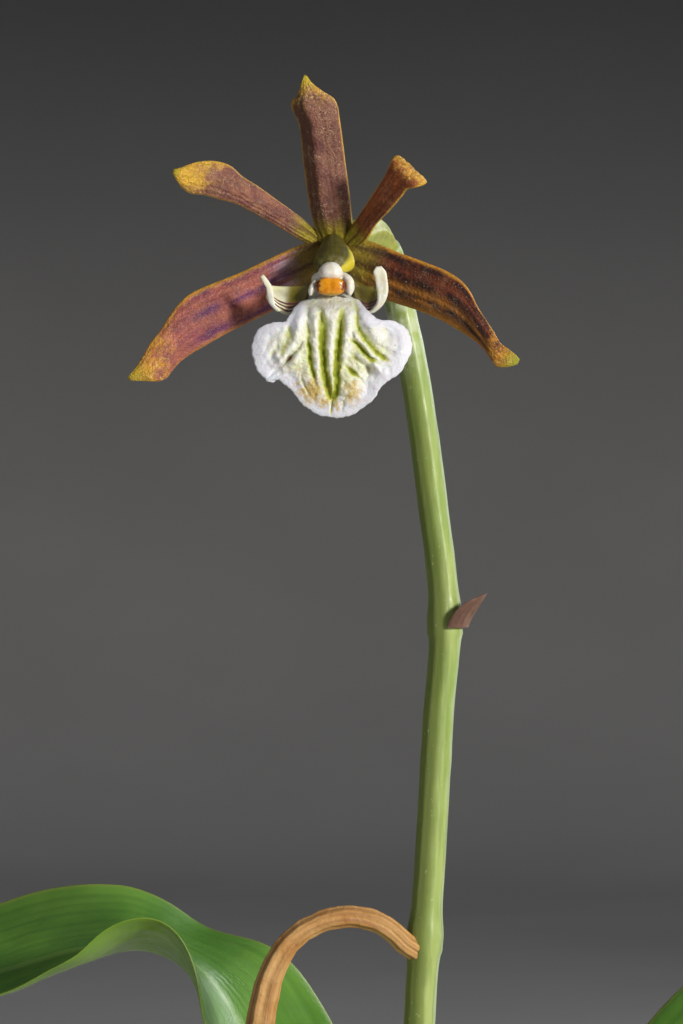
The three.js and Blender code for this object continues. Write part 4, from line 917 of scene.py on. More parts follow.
def ribbon(column, row, way, wide):
    """How strongly a stroke covers each place, from 0 to 1, with soft ends."""
    way = np.array(way, float)
    best, along = np.full(column.shape, 1e9), np.zeros(column.shape)
    passed = 0.0
    for (x0, y0), (x1, y1) in zip(way[:-1], way[1:]):
        dx, dy = x1 - x0, y1 - y0
        t = np.clip(((column - x0) * dx + (row - y0) * dy) / (dx * dx + dy * dy), 0, 1)
        off = np.hypot(column - x0 - t * dx, row - y0 - t * dy)
        along = np.where(off < best, passed + t * math.hypot(dx, dy), along)
        best = np.minimum(best, off)
        passed += math.hypot(dx, dy)
    soft = 0.3 + 0.7 * smooth(along, 0, 8) * smooth(passed - along, 0, 8)
    return np.exp(-((best / (wide * (0.5 + 0.5 * soft))) ** 2)) * soft


def lip_marks(column, row, wander):
    """Height of the lip's relief, its green, and its stain, at places in the photograph."""
    column, row = column + wander[0], row + wander[1]
    high, green, brown = np.zeros(column.shape), np.zeros(column.shape), np.zeros(column.shape)
    for way, wide, height in LIP_RIDGES:
        high = np.maximum(high, 1.4 * height * ribbon(column, row, way, wide))
    ridge = np.clip(high / 0.25, 0, 1)
    for (x, y), (wide, tall), height in LIP_SWELLS:
        high = high + height * np.exp(-(((column - x) / wide) ** 2) - ((row - y) / tall) ** 2)
    for way, wide, depth, is_green, is_brown in LIP_GROOVES:
        cover = ribbon(column, row, way, wide)
        high = high - 1.3 * depth * cover
        green = np.maximum(green, is_green * cover)
        brown = np.maximum(brown, is_brown * cover)
    green = green * (0.5 + 0.5 * smooth(row, 316, 340))
    wide = np.clip(21 - (row - 298) * 0.66, 2.0, 21)
    callus = hump(column, 332, wide, 4) * (1 - smooth(row, 312, 326)) * smooth(row, 290, 297)
    high = high * (1 - 0.7 * callus) + 0.5 * callus
    stain = np.zeros(column.shape)
    for (x, y), (wide, tall), amount in LIP_STAINS:
        stain = np.maximum(stain, amount * np.exp(-(((column - x) / wide) ** 2) - ((row - y) / tall) ** 2))
    # Ridges and callus get a negative green, which the material paints whiter: partly their own white and
    # partly a painted highlight.
    green = green - 0.4 * np.maximum(ridge, callus) * (1 - smooth(green, 0, 0.4))
    return high, green, np.where(brown > 0.12, -brown, stain)


def lip_skin(around=440, out=84):
    count = len(LIP_RIM)
    rows = [[i, *LIP_RIM[i % count]] for i in range(-3, count + 4)]
    rim = track(rows)(np.linspace(0, count, around, endpoint=False))
    hub = np.array(LIP_HUB)
    share = np.sin(np.linspace(0, 1, out + 1)[1:] * 1.45) / math.sin(1.45)
    ruffle = 1 + 0.006 * np.sin(np.arange(around) * 0.31) + 0.004 * np.sin(np.arange(around) * 0.83)
    flat = hub + share[:, None, None] * (rim - hub) * ruffle[None, :, None] ** share[:, None, None]
    column, row = flat[..., 0], flat[..., 1]
    x, z = (column - MIDDLE_PX[0]) * PX, (MIDDLE_PX[1] - row) * PX
    inside = 1 - smooth(share, 0.72, 0.98)[:, None]
    field = smooth(np.abs(column - 331), 92, 52) * smooth(np.abs(row - 352), 88, 58)
    there = np.stack([x, 0 * x, z], -1)
    wander = [0.9 * grain(there, 0.3, 6.0) + 1.2 * grain(there, 1.4, 2.0), 0.9 * grain(there, 0.3, 9.0)]
    high, green, stain = lip_marks(column, row, wander)
    crown = hump(column, 332, 26, 4) * (1 - smooth(row, 318, 338))
    rough = np.maximum(inside * field, crown)
    warts = (0.06 * grain(there, 0.62) + 0.065 * grain(there, 0.3, 4.0)) * (0.05 + 0.95 * rough)
    beads = 0.008 * grain(there, 0.14, 8.0)
    edge = 0.02 * smooth(share, 0.95, 0.99)[:, None]
    ripple = 0.22 * smooth(share, 0.6, 1.0)[:, None] * grain(there, 2.6, 2.5)
    fall = 0.045 * np.clip(np.abs(x) - 2.8, 0, None) ** 2 * smooth(z, -11, -6)
    tuck = 0.5 * smooth(share, 0.93, 1.0)[:, None] * smooth(row, 312, 298)
    sheet = LIP_DEPTH(z)[..., 0] + fall + tuck - edge - ripple + 0.25
    middle = seen(x, sheet - high * (0.25 + 0.75 * inside) - warts - beads, z)
    smooth_sheet = seen(x, sheet, z)
    hub_ring = np.repeat(smooth_sheet[:1].mean(1, keepdims=True), around, 1)
    grid = np.concatenate([hub_ring, smooth_sheet])
    along = np.roll(grid, -1, 1) - np.roll(grid, 1, 1)
    normal = unit(np.cross(along, np.gradient(grid, axis=0)))[1:]
    normal *= np.where(normal[..., 1:2] > 0, -1, 1)
    body = (0.3 - 0.1 * share[:, None]) * rounding(1 - share[:, None] ** 40, 0)
    front, back = middle + normal * body[..., None], middle - normal * body[..., None]
    smoothness = np.maximum((1 - smooth(share, 0.45, 0.95)[:, None]) * np.ones_like(x), crown)
    marks = np.stack([green, stain, smoothness], -1)
    plain = np.stack([0.3 * np.maximum(green, 0), 0 * stain, 0.2 * smoothness], -1)
    return skin_of_rings(np.concatenate([front, back[-2::-1]]), np.concatenate([marks, plain[-2::-1]]))


def lip_claw():
    """The narrow foot of the lip, from under the column to its callus."""
    spine = track([[0, *seen(0, -1.5, -1.9)], [0.35, *seen(0, -3.4, -3.0)], [0.7, *seen(0, -5.4, -4.0)],
                   [1, *seen(0, -6.7, -4.9)]])
    width = track([[0, 0.9], [0.35, 1.1], [0.7, 1.6], [1, 2.1]])
    skin = blade(spine, fixed(0, -0.3, 0.5), width, fixed(0.14), fixed(0.8), 30, 24)
    return skin[0], skin[1], np.tile([-0.3, 0.0, 0.8], (len(skin[0]), 1))


piece("lip_blade", [lip_skin(), lip_claw()], lip_look(), "lip", "lip")

# The lip's side lobes: a trough on either side of the column, and a horn or finger at its end.
ARMS = [
    ([[0, 309, 284.5, 305, 309, -6.6], [0.25, 300, 285.2, 297, 311.5, -6.25],
      [0.5, 289, 286, 286, 313.5, -6.2], [0.72, 279, 286, 276, 308.5, -6.3],
      [0.88, 273, 285.6, 270.4, 303, -6.45],
      [1, 269, 285.4, 267.4, 297, -6.6]],
     -0.42, 0.5),
    ([[0, 352, 281, 354, 305, -6.6], [0.3, 358, 284, 360, 309, -6.25], [0.55, 366, 285.6, 368, 312.4, -6.2],
      [0.8, 373, 285.8, 377, 309, -6.3], [1, 378, 286.4, 384, 300, -6.5]], -0.42, 0.5),
]
HORNS = [
    ([[0, 280, 310.2, 277.5, 309.6, -6.6], [0.15, 274.8, 303.5, 269.4, 301.4, -6.8],
      [0.36, 273.2, 294.5, 266.8, 293.4, -6.95], [0.58, 272, 287, 265.8, 287, -7.0],
      [0.8, 268.4, 280.4, 262.6, 281.4, -7.05], [1, 263, 273.6, 259.8, 275.2, -7.1]], 0.2, 0.42),
    ([[0, 365.5, 311.8, 368, 313.4, -6.7], [0.12, 371, 309.3, 374.5, 311.8, -6.8],
      [0.25, 376.3, 303, 382.2, 305.5, -6.95], [0.4, 377.6, 295.6, 386.6, 297.8, -7.05],
      [0.56, 376.6, 287, 388.4, 289.4, -7.1], [0.76, 375, 277, 387.4, 278, -7.15],
      [0.91, 373.6, 270.6, 385.8, 270.4, -7.2], [1, 376.4, 265.8, 381.6, 265.3, -7.2]], -0.16, 0.42),
]


def arm_relief(u, v, at):
    return 0.03 * grain(at, 0.5) + 0.012 * grain(at, 0.2, 3.0)


arm_skins = [
    between(edges, lambda u, t=thick: t + 0 * u, *ARM_GRID, lambda u, v, b=bow: b * v * v + 0.25 * v,
            arm_relief, ends=1.0)
    for edges, bow, thick in ARMS
]
arm_skins[1][2][:, 0] *= 0.55
piece("lip_side_lobes", arm_skins, arm_look(), "lip", "lip")
horn_skins = [
    between(edges, lambda u, t=thick: t * (1 - 0.3 * u), 70, 36,
            lambda u, v, b=bow: b * v * v + 0.12 * v * np.sin(7 * u), arm_relief, rim=4)
    for edges, bow, thick in HORNS
]
IVORY = fleshy_look("ivory_skin", [(242, 241, 232), (232, 229, 198), (236, 226, 218)], 0.8,
                    specks=(170, 110, 96))
piece("lip_horns", horn_skins, IVORY, "lip", "lip")

# Column, its teeth and the cap over its pollen

COLUMN_WAY = even([[0, 0.6, 0.1], [0.02, -2.4, -0.4], [0.08, -4.7, -1.0], [0.08, -6.9, -2.15]])


def column_body():
    spine = track([[u, *seen(*COLUMN_WAY(u))] for u in np.linspace(0, 1, 9)])

    def radius(u):
        dome = rounding(1 - (np.clip(u - 0.8, 0, 1) / 0.2) ** 2, 0.02)
        return np.stack([(0.95 + 0.5 * smooth(u, 0.1, 0.9)) * dome, (0.8 + 0.36 * u) * dome], -1)

    def bumps(u, a, at):
        wings = 0.22 * hump(np.abs(np.cos(a)), 1, 0.16) * smooth(u, 0.3, 0.9)
        keel = 0.12 * hump(np.sin(a), 1, 0.1) * (1 - u)
        return wings + keel + 0.04 * grain(at, 0.7)

    return rod(spine, fixed(0, -0.3, 1), radius, 56, 48, bumps=bumps)


piece("column_body", [column_body()], column_look(), "column", "column")


def egg(way):
    """Narrower towards its top."""
    x, y, z = np.moveaxis(way, -1, 0)
    narrow = 1 - 0.16 * z - 0.06 * z * z
    return np.stack([x * narrow, y * narrow, z], -1)


def hood_skin():
    """The thick white rim of the column's end, round three sides of the cap."""
    rows = [
        [0, 310.2, 294.5, -7.5, 0.12], [0.1, 311, 290, -7.45, 0.27], [0.22, 313.5, 283.5, -7.3, 0.25],
        [0.4, 319.5, 276, -6.9, 0.15], [0.52, 331, 270, -6.6, 0.15], [0.65, 342, 273, -6.9, 0.2],
        [0.78, 348.4, 279.5, -7.25, 0.36], [0.9, 350.2, 287.5, -7.4, 0.34], [1, 350.2, 294.5, -7.5, 0.12],
    ]
    spine = track([[u, *seen_px(x, y, depth)] for u, x, y, depth, _ in rows])
    size = track([[row[0], row[4]] for row in rows])
    return rod(spine, fixed(0, -1, 0), lambda u: np.concatenate([size(u), 1.5 * size(u)], -1), 32, 90,
               bumps=lambda u, a, at: 0.05 * grain(at, 0.5) + 0.02 * grain(at, 0.2, 3.0))


teeth = [
    lump((-0.2, -7.45, -2.2), (0.95, 1.0, 0.74), 48, 36, 2.3, 0.03, 0.4, egg),
    lump((-0.15, -6.8, -2.85), (1.55, 0.7, 0.7), 48, 28, 2.4, 0.04, 0.5),
    hood_skin(),
]
TOOTH = fleshy_look("tooth_skin", [(240, 238, 230), (226, 216, 196), (236, 232, 224)], 0.8,
                    specks=(170, 110, 80))
piece("column_teeth", teeth, TOOTH, "column", "column")


def barrel(way):
    x, y, z = np.moveaxis(way, -1, 0)
    cleft = 0.05 * np.exp(-((x / 0.1) ** 2)) * (y < 0)
    return np.stack([x, y * (1 - cleft) - 0.1 * z * z * (y < 0), z * (1 - 0.1 * x * x)], -1)


cap = lump((-0.18, -7.72, -3.42), (1.16, 0.66, 0.7), 56, 40, 3.0, 0.015, 0.4, barrel)
piece("anther_cap_skin", [cap], anther_look(), "anther_cap", "anther_cap")

# Raceme: stem, ovary, scales and the spent flower

STEM_LINE = track([
    [-143.75, 7, 15], [-124, 7.4, 15.3], [-105, 7.8, 15.5], [-86, 7.5, 15.4], [-67, 7.15, 15],
    [-50, 8.15, 15], [-38.8, 8.8, 15], [-30.4, 9.35, 15], [-19.5, 8.15, 15], [-10.5, 6.9, 15],
    [-2, 5.1, 14.8],
])
STEM_FOOT, STEM_TOP, STEM_RADIUS = -143.75, -2.0, 1.3
STEM_NODES = [(-30.6, 0.26), (-57.2, 0.26), (-88, 0.22)]


def stem_at(z):
    z = np.asarray(z, float)
    return np.concatenate([STEM_LINE(z), z[..., None]], -1) + FLOWER


def stem_skin():
    def height(u):
        return STEM_FOOT + (STEM_TOP - STEM_FOOT) * u

    def radius(u):
        z = height(u)
        bulge = sum(swell * hump(z, at, 1.6) for at, swell in STEM_NODES)
        ring = sum(0.07 * np.exp(-(((z - at + 1.0) / 0.22) ** 2)) for at, _ in STEM_NODES)
        return (STEM_RADIUS * (1.12 - 0.18 * u) + bulge + ring)[..., None]

    def bumps(u, a, at):
        return 0.025 * np.cos(11 * a + 2 * grain(at, 30.0)) + 0.03 * grain(at, 1.6)

    return rod(lambda u: stem_at(height(u)), fixed(0, -1, 0.02), radius, *STEM_GRID, bumps=bumps)


def stem_crook():
    """The bend at the stem's end, where the flower's stalk leaves it."""
    ways = [[5.1, 14.8, -2.2], [4.95, 14.5, -1.2], [4.8, 13.9, -0.2], [4.5, 13.1, 0.5]]
    return rod(even([np.array(w) + FLOWER for w in ways]), fixed(0, -1, 0.2),
               lambda u: (1.2 - 0.1 * u)[..., None], 36, 16, bumps=lambda u, a, at: 0.03 * grain(at, 1.0))


STEM_PAINT = stem_look("stem_skin", ((150, 174, 90), (172, 190, 110), (122, 142, 60)), painted_sides=True)
piece("stem_skin", [stem_skin(), stem_crook()], STEM_PAINT, "stem", "stem")

OVARY_WAY = [[4.95, 14.4, -0.95], [4.2, 12.7, 0.9], [3.2, 9.8, 1.6], [1.8, 6, 1.0], [0.4, 2.8, 0.2],
             [0, 0.3, 0]]


def ovary_skin():
    return rod(even([np.array(p) + FLOWER for p in OVARY_WAY]), fixed(0, 0.1, 1),
               lambda u: (0.85 + 0.45 * np.sin(np.pi * u ** 1.2) + 0.5 * smooth(u, 0.85, 1))[..., None],
               48, 70, 6, 0.06, lambda u, a, at: 0.03 * grain(at, 0.8))


piece("ovary_skin", [ovary_skin()],
      stem_look("ovary_paint", ((150, 164, 66), (170, 176, 84), (132, 120, 52))), "stem", "ovary")

SCALES = {
    "bract_upper": (-31.2, 2.6, 1.25, 1.3, (1, -0.25, 0)),
    "bract_lower": (-88.6, 4.2, 1.6, 1.3, (-1, -0.4, 0)),
    "stem_sheath": (-143.2, 17, 2.5, 0.8, (1, 0.1, 0)),
}
PAPER = dry_look("dry_sheath_paint", (206, 184, 140), (176, 148, 102), (132, 102, 64))
BRACT = dry_look("bract_paint", (160, 126, 108), (118, 84, 70), (74, 52, 44))


def scale_skin(z, length, reach, flare, face):
    tall = length > 10
    clear = STEM_RADIUS * 1.12 + (GAP if tall else 0.12)

    def radius(u, angle):
        crinkle = 0.12 * u * np.sin(5 * angle + 3 * u) if not tall else 0.05 * np.sin(9 * angle)
        stand = flare * u * u if tall else (flare + 0.48) * u ** 1.3
        return clear + stand + crinkle * smooth(u, 0.2, 0.8)

    def cover(u):
        open_end = np.sqrt(np.maximum(1 - u ** (3 if tall else 1.5), 0.003))
        return reach * open_end

    return wrap(lambda u: stem_at(z + length * u), fixed(*face), radius, cover, *SCALE_GRID, 0.4)


for name, values in SCALES.items():
    is_sheath = name == "stem_sheath"
    piece(name + "_skin", [scale_skin(*values)], PAPER if is_sheath else BRACT,
          "dry_sheath" if is_sheath else "bract", name)

SPENT_WAY = [
    [6.0, 13.6, -57.6], [4.2, 12.6, -56.0], [1.6, 12, -55.2], [-1.2, 11.8, -55.7], [-3.6, 11.7, -57.3],
    [-5.2, 11.6, -60.1], [-6.0, 11.5, -63.6], [-6.6, 11.4, -68], [-6.9, 11.3, -73],
]
DRY_STALK = dry_look("dry_stalk_paint", (216, 170, 108), (190, 136, 74), (136, 88, 44), (0.45, 0.7), 0.06)
spent_spine = even([np.array(p) + FLOWER for p in SPENT_WAY])
spent_root = np.array(SPENT_WAY[0]) + FLOWER + np.array([0.9, 0.75, -0.7])
spent_way = even([spent_root, *(spent_spine(u) for u in np.linspace(0, 1, 17))])
spent_stalk = rod(spent_way, fixed(0, -1, 0),
                  lambda u: (0.85 + 0.32 * smooth(u, 0.45, 0.85))[..., None], 48, 160, 6, 0.08,
                  lambda u, a, at: 0.05 * grain(at, 0.9) + 0.03 * grain(at, 0.4, 2.0))
piece("spent_stalk_skin", [spent_stalk], DRY_STALK, "dry_stalk", "spent_stalk")


def spent_flower_skins():
    end = spent_spine(1.0)
    x, y, z = end
    cup = lump((0, 0, 0), (1.35, 1.35, 1.35), 40, 28, 2.0, 0.12, 0.7)
    skins = [(cup[0] - seen(0, 0, 0) + np.array([x, y, z - 1.75]), cup[1], cup[2])]
    for i in range(5):
        angle = i / 5 * 2 * np.pi + 0.3
        c, s = np.cos(angle), np.sin(angle)
        hang = 9.5 + 2.2 * np.sin(3.1 * i + 1)
        spine = even([
            [x + 0.3 * c, y + 0.3 * s, z - 1.6],
            [x + 1.9 * c, y + 1.9 * s, z - 1.7 - 0.3 * hang],
            [x + 2.0 * c - 0.5 * s, y + 2.0 * s + 0.5 * c, z - 1.7 - 0.7 * hang],
            [x + 1.1 * c - 1.0 * s, y + 1.1 * s + 1.0 * c, z - 1.7 - hang],
        ])
        skins.append(blade(
            spine, fixed(-c, -s, 0.2), lambda u: (0.35 + 1.0 * np.sin(np.pi * u * 0.85))[..., None],
            lambda u: (0.8 + 0.25 * np.sin(9 * u))[..., None], fixed(0.45), *SPENT_GRID,
            relief=lambda u, v, at: 0.14 * grain(at, 1.1) + 0.05 * np.cos(9 * v)))
    return skins


piece("spent_flower_skin", spent_flower_skins(),
      dry_look("spent_flower_paint", (176, 128, 82), (132, 86, 54), (86, 54, 36)), "dry_stalk",
      "spent_flower")

# Pseudobulbs, rhizome and roots

BULBS = {
    "bulb_oldest": ((-33, -8), 36, 8.2, (-2, -1), 0.9),
    "bulb_second": ((-20, 10), 47, 9.2, (-1, 2), 0.2),
    "bulb_flowering": ((1, 6), 52, 10, (0, 0), -0.1),
    "bulb_leading": ((22, 0), 50, 9.6, (1.5, 0), -0.4),
    "bulb_back": ((-3, 28), 43, 8.8, (0, 2), 1.3),
    "bulb_new": ((35, -14), 27, 5.6, (2, -2), -0.5),
}
SOIL_TOP = 79.5
BULB_FOOT = SOIL_TOP + 0.4
BULB_SHAPE = even([0.42, 0.78, 0.97, 1.0, 0.93, 0.81, 0.67, 0.54, 0.44, 0.4])
BULB_FLAT, BULB_RIB = 0.86, 0.03


def bulb_spine(foot, height, lean):
    def at(u):
        u = np.asarray(u, float)
        return np.stack([foot[0] + lean[0] * u * u, foot[1] + lean[1] * u * u, BULB_FOOT + height * u], -1)

    return at


def bulb_skin(foot, height, half, lean, turn):
    def radius(u):
        r = half * BULB_SHAPE(u)[..., 0]
        r = r * rounding((1 - u) / 0.02, 0.45) * rounding(u / 0.02, 0.6)
        return np.stack([r, r * BULB_FLAT], -1)

    def bumps(u, a, at):
        pleats = 0.1 * np.cos(14 * a + 0.8) * np.sin(np.pi * u)
        joints = sum(0.14 * hump(u, ring, 0.012) for ring in (0.14, 0.4, 0.985))
        return pleats + joints + 0.1 * grain(at, 3.0) + 0.05 * grain(at, 1.1, 4.0)

    return rod(bulb_spine(foot, height, lean), fixed(-math.sin(turn), math.cos(turn), 0), radius,
               *BULB_GRID, 7, BULB_RIB, bumps)


BULB_PAINT = bulb_look()
for name, values in BULBS.items():
    piece(name + "_skin", [bulb_skin(*values)], BULB_PAINT, "bulb", name)

RHIZOME = [[-38, -14, 77], [-33, -8, 77.3], [-20, 10, 77.3], [1, 6, 77.3], [22, 0, 77.3], [35, -14, 77.3],
           [38, -17, 77]]
BRANCH = [[-10, 9.3, 77.3], [-8, 18, 77.3], [-3, 28, 77.3], [0, 33.5, 77.1]]


def rhizome_skin(points, steps):
    return rod(even(points), fixed(0, 0, 1), lambda u: (2.3 * (1 + 0.06 * np.cos(60 * u)))[..., None],
               24, steps,
               bumps=lambda u, a, at: 0.15 * grain(at, 1.4))


piece("rhizome_skin", [rhizome_skin(RHIZOME, 200), rhizome_skin(BRANCH, 70)],
      dry_look("rhizome_paint", (150, 118, 72), (116, 92, 50), (80, 58, 34)), "rhizome", "rhizome")

ROOTS = {
    "root_front": [[3, -4.5, 81], [4, -13, 84], [0, -24, 85], [-5, -33, 84], [-9, -39, 80]],
    "root_left": [[-20, -1, 81], [-21, -10, 84.4], [-19, -20, 85], [-21, -28, 84], [-25, -33, 79.5]],
    "root_right": [[21, -9, 81], [22, -18, 84.4], [20, -27, 84.6], [19, -34, 83], [20, -38, 79]],
    "root_back": [[6, 30, 81], [15, 33, 84], [25, 31, 84.4], [33, 24, 83], [37, 21, 79]],
    "root_over_rim": [
        [35, -8.8, 80], [38, -4, 86.4], [43, 2.5, 91.2], [49.2, 7.4, 93.9], [53.6, 10.2, 91.4],
        [53.7, 11, 84], [52.8, 11.2, 75], [51.6, 10.6, 66], [49.6, 10.8, 57], [46.8, 12.4, 49],
    ],
}
ROOT_PAINT = root_look()


def root_skin(points):
    def radius(u):
        taper = np.minimum(np.minimum(1, 0.5 + 6 * (1 - u)), 0.7 + 4 * u)
        tip = rounding((1 - u) / 0.02, 0.1)
        return (1.15 * taper * tip)[..., None]

    return rod(even(points), fixed(0.12, 0.2, 1), radius, 24, 32 * len(points),
               bumps=lambda u, a, at: 0.07 * grain(at, 1.3) + 0.03 * grain(at, 0.5, 3.0))


for name, points in ROOTS.items():
    piece(name + "_skin", [root_skin(points)], ROOT_PAINT, "root", name)

# Leaves

LEAVES = {
    "leaf_left_tall": ("bulb_flowering", (-0.3, 4.1), 10.2,
        [[-4.5, 17, 160], [-8, 25, 182], [-11, 30, 199], [-14.4, 32, 207.6],
         [-18.6, 33, 213], [-23, 34, 215], [-28, 35, 214.5], [-34, 36, 213], [-43, 37, 209.7],
         [-56, 37, 203], [-71, 35, 191], [-84, 32, 178]],
        [[0.1, -1, 0.1], [0.3, -1, 0.1], [0.5, -0.95, 0.1], [0.68, -0.72, 0.2], [0.8, -0.46, 0.42],
         [0.36, 0.06, 0.95], [0, -0.24, 1], [0, -0.42, 1], [0, -0.4, 1], [-0.1, -0.3, 1], [-0.3, -0.2, 1]]),
    "leaf_front_low": ("bulb_flowering", (0.6, -4.1), 9.4,
        [[8, -8, 156], [17, -17, 175], [29, -27, 183], [42, -36, 178], [55, -45, 163]],
        [[-0.3, 1, 0.2], [-0.6, 0.8, 0.6], [-0.3, 0.4, 1], [0.2, -0.1, 1], [0.5, -0.3, 1]]),
    "leaf_right_tall": ("bulb_leading", (-0.9, 3.2), 9.8,
        [[22, 9, 158], [23, 18, 184], [27, 23, 202], [36, 26, 211.5], [49, 27, 213], [64, 25, 204],
         [76, 22, 188]],
        [[-0.2, -1, 0.1], [-0.5, -0.9, 0.3], [-0.4, -0.4, 1], [0.1, -0.2, 1], [0.5, -0.2, 1]]),
    "leaf_right_low": ("bulb_leading", (2.6, -2.0), 9,
        [[34, -9, 149], [47, -14, 163], [61, -18, 166], [74, -21, 157], [85, -24, 142]],
        [[-1, 0.4, 0.3], [-0.8, 0.3, 0.8], [-0.1, 0.1, 1], [0.4, 0, 1], [0.7, 0, 1]]),
    "leaf_left_low": ("bulb_second", (-2.6, -1.9), 9.2,
        [[-29, 6, 148], [-40, 1, 164], [-54, -6, 170], [-68, -13, 162], [-80, -19, 146]],
        [[1, 0.3, 0.3], [0.8, 0.2, 0.8], [0.2, 0, 1], [-0.4, -0.1, 1], [-0.6, -0.2, 1]]),
    "leaf_back_left": ("bulb_second", (0.9, 3.0), 8.8,
        [[-26, 25, 150], [-33, 38, 168], [-41, 52, 173], [-48, 65, 163], [-53, 75, 147]],
        [[0.4, -1, 0.3], [0.3, -0.9, 0.7], [0.1, -0.2, 1], [-0.1, 0.3, 1], [-0.2, 0.6, 1]]),
    "leaf_back_right": ("bulb_back", (0.9, 2.4), 8.6,
        [[2, 39, 146], [9, 51, 164], [18, 63, 169], [28, 74, 161], [37, 82, 146]],
        [[-0.4, -1, 0.3], [-0.4, -0.8, 0.8], [0, -0.2, 1], [0.2, 0.3, 1], [0.4, 0.5, 1]]),
    "leaf_new_outer": ("bulb_new", (1.1, -1.7), 5.4,
        [[41, -20.5, 121], [47, -27, 134], [55, -35, 142], [63, -42, 143]],
        [[-0.6, 0.8, 0.3], [-0.6, 0.7, 0.6], [-0.3, 0.4, 1], [0, 0.1, 1]]),
    "leaf_new_inner": ("bulb_new", (-0.5, 2.4), 4.9,
        [[38.5, -9, 122], [42, -4, 137], [48, 2, 149], [55, 8, 156]],
        [[-0.3, -1, 0.3], [-0.5, -0.8, 0.6], [-0.5, -0.5, 1], [-0.2, -0.2, 1]]),
}
LEAF_WIDTH = track([
    [0, 0.3], [0.07, 0.34], [0.2, 0.6], [0.38, 0.93], [0.52, 1], [0.7, 0.9], [0.85, 0.62], [0.95, 0.27],
    [1, 0.04],
])
LEAF_PAINT = leaf_look()


CLASP = 0.06  # the share of a leaf that its foot's clasp covers
CLASP_DEPTH = 3.4
LEAF_FOLD = 0.22


def leaf_skins(bulb, start, half, way, face):
    """The blade, and the short foot that sinks into the bulb's top."""
    foot, height, _, lean, _ = BULBS[bulb]
    first = np.array([foot[0] + lean[0] + start[0], foot[1] + lean[1] + start[1],
                      BULB_FOOT + height + 1.6 * GAP])
    rise = first + (np.array(way[0]) - first) * np.array([0.3, 0.3, 0.5])
    turn = even(face)

    def relief(u, v, at):
        ribs = 0.05 * np.cos(11 * np.pi * v) * np.sin(np.pi * np.clip(u * 1.05, 0, 1)) ** 0.5
        groove = -0.16 * np.exp(-((v / 0.06) ** 2)) * (1 - 0.6 * u)
        waves = 0.3 * grain(at, 9.0) * v * v + 0.1 * grain(at, 3.0, 5.0)
        return ribs + groove + waves * smooth(u, 0.05, 0.3)

    def width(u):
        return half * LEAF_WIDTH(u)

    def curl(u):
        return (0.2 + 0.9 * np.exp(-u * 9))[..., None]

    def thick(u):
        return np.maximum(half * (0.11 - 0.05 * u), 0.6)[..., None]

    way = even([first, rise, *way])
    root = first - [0.35 * start[0], 0.35 * start[1], CLASP_DEPTH]
    clasp = even([root, first, way(CLASP / 2), way(CLASP)])
    foot_skin = blade(
        clasp, lambda u: turn(CLASP * u), lambda u: 0.97 * width(CLASP * u), lambda u: curl(CLASP * u),
        lambda u: 0.97 * thick(CLASP * u), *CLASP_GRID, LEAF_FOLD, None, 4)
    return [blade(way, turn, width, curl, thick, *LEAF_GRID, LEAF_FOLD, relief, 4), foot_skin]


for name, values in LEAVES.items():
    piece(name + "_skin", leaf_skins(*values), LEAF_PAINT, "leaf", name)

# Dry sheaths round the bulbs

SHEATH_FOOT = 87.5
SHEATHS = {
    "sheath_flowering": ("bulb_flowering", 0.6, 1.5, -1.9),
    "sheath_leading": ("bulb_leading", 0.64, 1.5, -1.2),
    "sheath_second": ("bulb_second", 0.5, 1.6, -2.3),
    "sheath_oldest": ("bulb_oldest", 0.42, 1.5, -1.7),
    "sheath_new": ("bulb_new", 0.8, 1.8, -1.3),
}


def sheath_skin(bulb, top, reach, facing):
    foot, height, half, lean, turn = BULBS[bulb]
    start = (SHEATH_FOOT - BULB_FOOT) / height
    whole = bulb_spine(foot, height, lean)

    def share(u):
        return start + (top - start) * u

    def radius(u, angle):
        wide = half * BULB_SHAPE(share(u))[..., 0] * (1 + BULB_RIB)
        deep = wide * BULB_FLAT
        turned = facing + angle - turn
        round_ = wide * deep / np.hypot(deep * np.cos(turned), wide * np.sin(turned))
        veins = 0.06 * np.cos(26 * angle) + 0.1 * u * np.sin(6 * angle + 4 * u)
        return 1.03 * round_ + GAP + 0.9 * u * u + veins

    def cover(u):
        torn = 1 + 0.05 * np.sin(23 * u) + 0.03 * np.sin(51 * u)
        return reach * np.sqrt(np.maximum(1 - u * u, 0.004)) * torn

    return wrap(lambda u: whole(share(u)), fixed(math.cos(facing), math.sin(facing), 0), radius, cover,
                *SHEATH_GRID, 0.35)


for name, values in SHEATHS.items():
    piece(name + "_skin", [sheath_skin(*values)], PAPER, "dry_sheath", name)

# Pot and the bark in it

POT_HEIGHT, BASE_RADIUS, RIM_RADIUS, RIM_HEIGHT = 92.0, 36.0, 52.5, 20.0
WALL, FLOOR = 4.6, 6.2
HOLE_RADIUS, HOLE_CIRCLE, HOLES = 4.5, 19.0, 4


def inner_radius(z):
    return RIM_RADIUS - WALL - (POT_HEIGHT - z) / POT_HEIGHT * (RIM_RADIUS - BASE_RADIUS - 1.5)


def rounded(profile, radius=0.9, steps=4):
    """A profile with its corners rounded off."""
    profile = [np.array(p, float) for p in profile]
    made = [profile[0]]
    for before, corner, after in zip(profile[:-2], profile[1:-1], profile[2:]):
        a, b = before - corner, after - corner
        cut = min(radius, 0.45 * np.linalg.norm(a), 0.45 * np.linalg.norm(b))
        start, end = corner + unit(a) * cut, corner + unit(b) * cut
        for t in np.linspace(0, 1, steps):
            made.append((1 - t) ** 2 * start + 2 * t * (1 - t) * corner + t * t * end)
    return made + [profile[-1]]


def split_long(profile, longest=2.2):
    made = [profile[0]]
    for a, b in zip(profile[:-1], profile[1:]):
        parts = max(1, int(np.ceil(np.linalg.norm(b - a) / longest)))
        made += [a + (b - a) * k / parts for k in range(1, parts + 1)]
    return made


